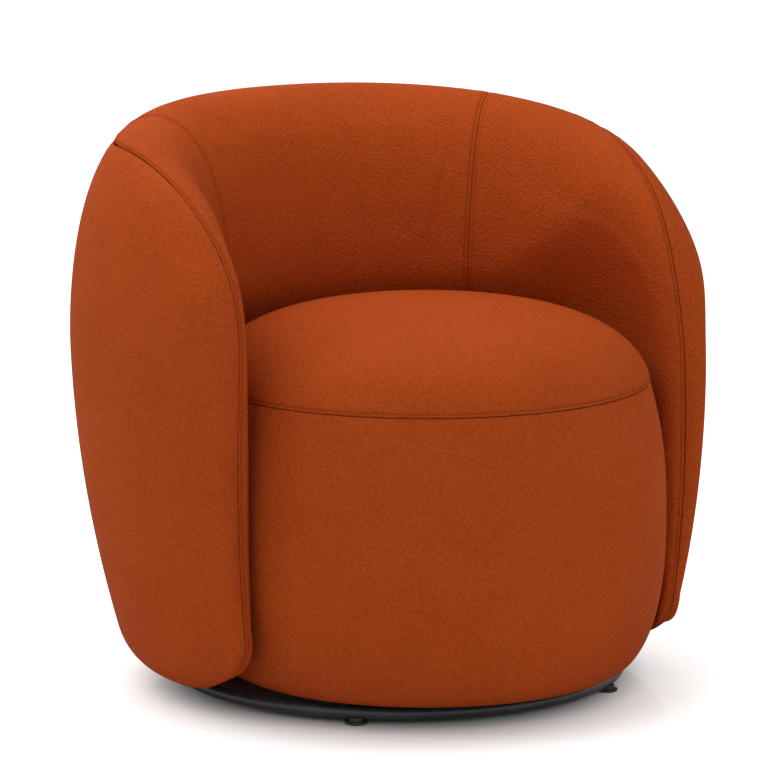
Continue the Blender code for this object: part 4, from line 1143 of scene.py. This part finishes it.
def stitchTemplate():
    # A many-sided grain of rice: rings at u, of radius r, each sunk a little into the cloth at the ends
    u, r, sink = (np.array(stitching[key])[:, None] for key in ("along", "radius", "sink"))
    turn = np.linspace(0.0, 2 * math.pi, stitching["sides"], endpoint=False)[None, :]
    v, w = r * np.cos(turn), r * np.sin(turn) + sink
    return np.stack([np.broadcast_to(u, v.shape), v, w], axis=-1).reshape(-1, 3)


def stitchFaces():
    # Quads between neighbouring rings, and one face over each end
    sides = stitching["sides"]
    pairs = [(k, (k + 1) % sides) for k in range(sides)]
    walls = [[i + here, i + after, i + sides + after, i + sides + here]
             for i in range(0, stitchSize - sides, sides) for here, after in pairs]
    return walls, [list(range(sides - 1, -1, -1)), list(range(stitchSize - sides, stitchSize))]


def alongPath(at, run, values):
    # A path's points or normals at the given distances along it
    return np.stack([np.interp(at, run, values[:, k]) for k in range(3)], axis=-1)


def stitchPoints(path, normal):
    # Stitches at an even pitch along the path: P = centre + u t L + v b w + w n w
    run = np.concatenate([[0.0], np.cumsum(np.linalg.norm(np.diff(path, axis=0), axis=1))])
    pitch = stitching["length"] + stitching["gap"]
    at = np.arange(pitch, run[-1] - pitch, pitch)
    centre = alongPath(at, run, path)
    ahead = alongPath(at + 0.001, run, path) - centre
    ahead = ahead / np.linalg.norm(ahead, axis=1, keepdims=True)
    side = np.cross(alongPath(at, run, normal), ahead)
    side = side / np.linalg.norm(side, axis=1, keepdims=True)
    up = np.cross(ahead, side)
    template = stitchTemplate()
    half = stitching["width"] / 2
    u = template[:, 0] * stitching["length"]
    v, w = template[:, 1] * half, template[:, 2] * half
    return (centre[:, None] + u[None, :, None] * ahead[:, None] + v[None, :, None] * side[:, None]
            + w[None, :, None] * up[:, None])


def makeStitches(name, paths):
    # All the stitches of one kind of seam in one mesh
    points = np.concatenate([stitchPoints(path, normal) for path, normal in paths]).reshape(-1, 3)
    walls, ends = stitchFaces()
    count = len(points) // stitchSize
    start = (np.arange(count) * stitchSize)[:, None, None]
    faces = (np.array(walls)[None] + start).reshape(-1, 4).tolist()
    faces += (np.array(ends)[None] + start).reshape(-1, stitching["sides"]).tolist()
    mesh = bpy.data.meshes.new(name)
    mesh.from_pydata(points.tolist(), [], faces)
    mesh.materials.append(sewingThread)
    mesh.shade_smooth()
    piece = bpy.data.objects.new(name, mesh)
    bpy.context.scene.collection.objects.link(piece)
    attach(piece, "seat")
    print(f"  {name}: {count} stitches")


def coverPath(cover, query):
    # The cover's own nearest points and normals along a wanted line, so that threads lie on the cloth
    mesh = bpy.data.objects[cover].data
    tree = BVHTree.FromPolygons([v.co for v in mesh.vertices], [p.vertices for p in mesh.polygons])
    found = [tree.find_nearest(point) for point in query.tolist()]
    path = np.array([hit[0] for hit in found])
    normal = np.array([hit[1] for hit in found])
    size = np.linalg.norm(normal, axis=1, keepdims=True)
    return path + normal / size * stitching["lift"], normal / size


def rimStitchPath(first, last, cover):
    # Parallel to the rim seam, one stitch inset into the pad
    stations = np.linspace(first, last, stitching["rimSteps"])
    seam = seamPlace(stations)
    places = seam - seamShape["stitchInset"] / acrossScale(stations, seam)
    return coverPath(cover, shellSurface(stations, places))


def sideStitchPath(side):
    # Parallel to the side seam, one stitch inset into the back pad
    top = seamPlace(np.array(splitStation)) - stitching["sideFrom"]
    places = np.linspace(top, stitching["sideTo"], stitching["sideSteps"])
    scale = alongScale(np.full_like(places, splitStation), places)
    stations = side * (splitStation - seamShape["stitchInset"] / scale)
    return coverPath("back_cushioning", shellSurface(stations, places))


def seatStitchPath():
    # Round the crown, one stitch inset above its seam
    turn = np.linspace(0.0, 2 * math.pi, stitching["seatSteps"])
    r, z = seat["seamRadius"] + stitching["seatOut"], seat["seamHeight"] + seamShape["stitchInset"]
    query = np.stack([r * np.cos(turn), seatY + r * np.sin(turn), z + 0 * turn], axis=-1)
    return coverPath("seat_crown", query)


print("stage 5: top stitching")
outerEnd, backEnd = stitching["rimEnd"], splitStation - stitching["cornerGap"]
armStart = splitStation + stitching["cornerGap"]
makeStitches("rim_stitches", [
    rimStitchPath(-outerEnd, -armStart, "arm_cushioning_left"),
    rimStitchPath(-backEnd, backEnd, "back_cushioning"),
    rimStitchPath(armStart, outerEnd, "arm_cushioning_right")])
makeStitches("side_stitches", [sideStitchPath(-1), sideStitchPath(1)])
makeStitches("seat_stitches", [seatStitchPath()])


# The base ring

ring = {"radius": 0.282, "tube": 0.016, "underside": 0.006, "around": 240, "section": 28}


def makeBaseRing():
    # Torus: (R + r cos v) about the swivel axis, r sin v above the ring's middle
    u = np.linspace(0.0, 2 * math.pi, ring["around"], endpoint=False)[:, None]
    v = np.linspace(0.0, 2 * math.pi, ring["section"])[None, :]
    half = ring["tube"] / 2
    reach = ring["radius"] + half * np.cos(v)
    height = ring["underside"] + half + half * np.sin(v)
    points = np.stack([reach * np.cos(u), axisY + reach * np.sin(u), height + 0 * u], axis=-1)
    faces = gridFaces(ring["around"], ring["section"], wrapped=True)
    piece = makeMesh("ring_tube", points, faces, blackSteel)
    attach(piece, "base")
    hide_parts("base_ring")


print("stage 6: the base")
makeBaseRing()


# Camera, light and floor

view = {
    "turn": math.radians(-29.2),
    "pitch": math.radians(10.15),
    "reach": 6.78,
    "height": 1.588,
    "focalPixels": 5400.0,
    "ringOffset": 14.2,               # pixels between the ring's middle and the frame's
    "longSide": 773.0,
    "sensor": 36.0,
    "farthest": 100.0,
}


def makeCamera():
    # Distance, height and focal length as solved from the photograph; the small yaw centres the ring
    lens = bpy.data.cameras.new("photo_camera")
    lens.sensor_width = view["sensor"]
    lens.lens = view["focalPixels"] * view["sensor"] / view["longSide"]
    lens.clip_end = view["farthest"]
    camera = bpy.data.objects.new("photo_camera", lens)
    bpy.context.scene.collection.objects.link(camera)
    turn, reach = view["turn"], view["reach"]
    camera.location = (reach * math.sin(turn), axisY - reach * math.cos(turn), view["height"])
    yaw = turn + math.atan(view["ringOffset"] / view["focalPixels"])
    camera.rotation_euler = (math.pi / 2 - view["pitch"], 0.0, yaw)
    bpy.context.scene.camera = camera


studio = {
    "worldStrength": 0.72,
    "lampTarget": (0.0, 0.0, 0.4),
    "lamps": {
        "top_softbox": {"place": (-0.7, 0.6, 2.4), "size": 2.2, "power": 34.0},
        "front_softbox": {"place": (1.4, -3.0, 1.6), "size": 2.0, "power": 9.0},
    },
}


def makeLamp(name, place, size, power):
    # A square white lamp that faces the lamps' common target
    lamp = bpy.data.lights.new(name, "AREA")
    lamp.shape = "RECTANGLE"
    lamp.size = lamp.size_y = size
    lamp.energy = power
    holder = bpy.data.objects.new(name, lamp)
    holder.location = place
    toTarget = Vector(studio["lampTarget"]) - Vector(place)
    holder.rotation_euler = toTarget.to_track_quat("-Z", "Y").to_euler()
    bpy.context.scene.collection.objects.link(holder)


def makeWorld():
    # White where the camera or a gloss looks, a plain soft grey where the cloth is lit
    world = bpy.data.worlds.new("soft_studio")
    bpy.context.scene.world = world
    world.use_nodes = True
    kit = NodeKit(world.node_tree)
    looked = kit.node("ShaderNodeLightPath", {"output": "Is Camera Ray"})
    glossy = kit.node("ShaderNodeLightPath", {"output": "Is Glossy Ray"})
    level = kit.node("ShaderNodeMapRange", {}, looked.larger(glossy), 0.0, 1.0,
                     studio["worldStrength"], 1.0)
    background = kit.tree.nodes["Background"]
    kit.feed(background.inputs["Color"], (1.0, 1.0, 1.0))
    kit.feed(background.inputs["Strength"], level)


floorLook = {
    "reach": 14.0,
    "tones": ((0.80, 0.80, 0.80), (0.84, 0.84, 0.84)),
    "mottle": (3.0, 2.0, 0.5),
    "roughness": 0.6,
    "paintedShadowGlow": 0.60,
    "shadowCentre": (-0.05, axisY - 0.09, 0.0),
    "whiteFrom": (0.12, 0.46),        # distances from the painted shadow's centre, from dark to white
    "underChair": (0.25, 0.33),       # the same from the chair's axis
    "mirror": 0.15,
    "mirrorRoughness": 0.06,
}


def makeFloorFinish(name, look):
    # Pale matte floor with a painted shadow: what the camera sees of it glows whiter away from the chair
    # and not under it, and a faint mirror fades out the same way. near = 1 under the chair and close before
    # it, 0 far off
    pale = Finish(name)
    seen = pale.node("ShaderNodeLightPath", {"output": "Is Camera Ray"})
    settings = {"operation": "DISTANCE", "output": 1}
    reach = pale.node("ShaderNodeVectorMath", settings, pale.place, (0.0, axisY, 0.0))
    ahead = pale.node("ShaderNodeVectorMath", settings, pale.place, look["shadowCentre"])
    near = 1.0 - ahead.between(*look["whiteFrom"]) * reach.between(*look["underChair"])
    pale.set({
        "Base Color": pale.mixed(pale.noise(*look["mottle"]), *look["tones"]),
        "Roughness": look["roughness"],
        "Specular IOR Level": 0.0,
    })
    # Painted shadow: the emission that the camera sees is white far off and fades to none near the chair
    paintedShadowTone = pale.mixed(near, (1.0, 1.0, 1.0), (0.0, 0.0, 0.0))
    paintedShadowGlow = pale.node("ShaderNodeEmission", {}, Color=paintedShadowTone, Strength=seen * look["paintedShadowGlow"])
    both = pale.node("ShaderNodeAddShader", {}, Field(pale, pale.shader.outputs[0]), paintedShadowGlow)
    mirror = pale.node("ShaderNodeBsdfGlossy", {}, Roughness=look["mirrorRoughness"])
    mixed = pale.node("ShaderNodeMixShader", {}, near * look["mirror"], both, mirror)
    pale.feed(pale.tree.nodes["Material Output"].inputs["Surface"], mixed)
    return pale.material


def makeFloor():
    # One flat square
    corners = np.array([[-1, -1, 0], [1, -1, 0], [1, 1, 0], [-1, 1, 0]]) * floorLook["reach"]
    floor = makeMesh("floor", corners, np.array([[0, 1, 2, 3]]), makeFloorFinish("pale_floor", floorLook))


print("stage 7: camera, light and floor")
makeCamera()
makeWorld()
makeFloor()
for lampName, lampSettings in studio["lamps"].items():
    makeLamp(lampName, **lampSettings)
bpy.context.scene.view_settings.view_transform = "Standard"
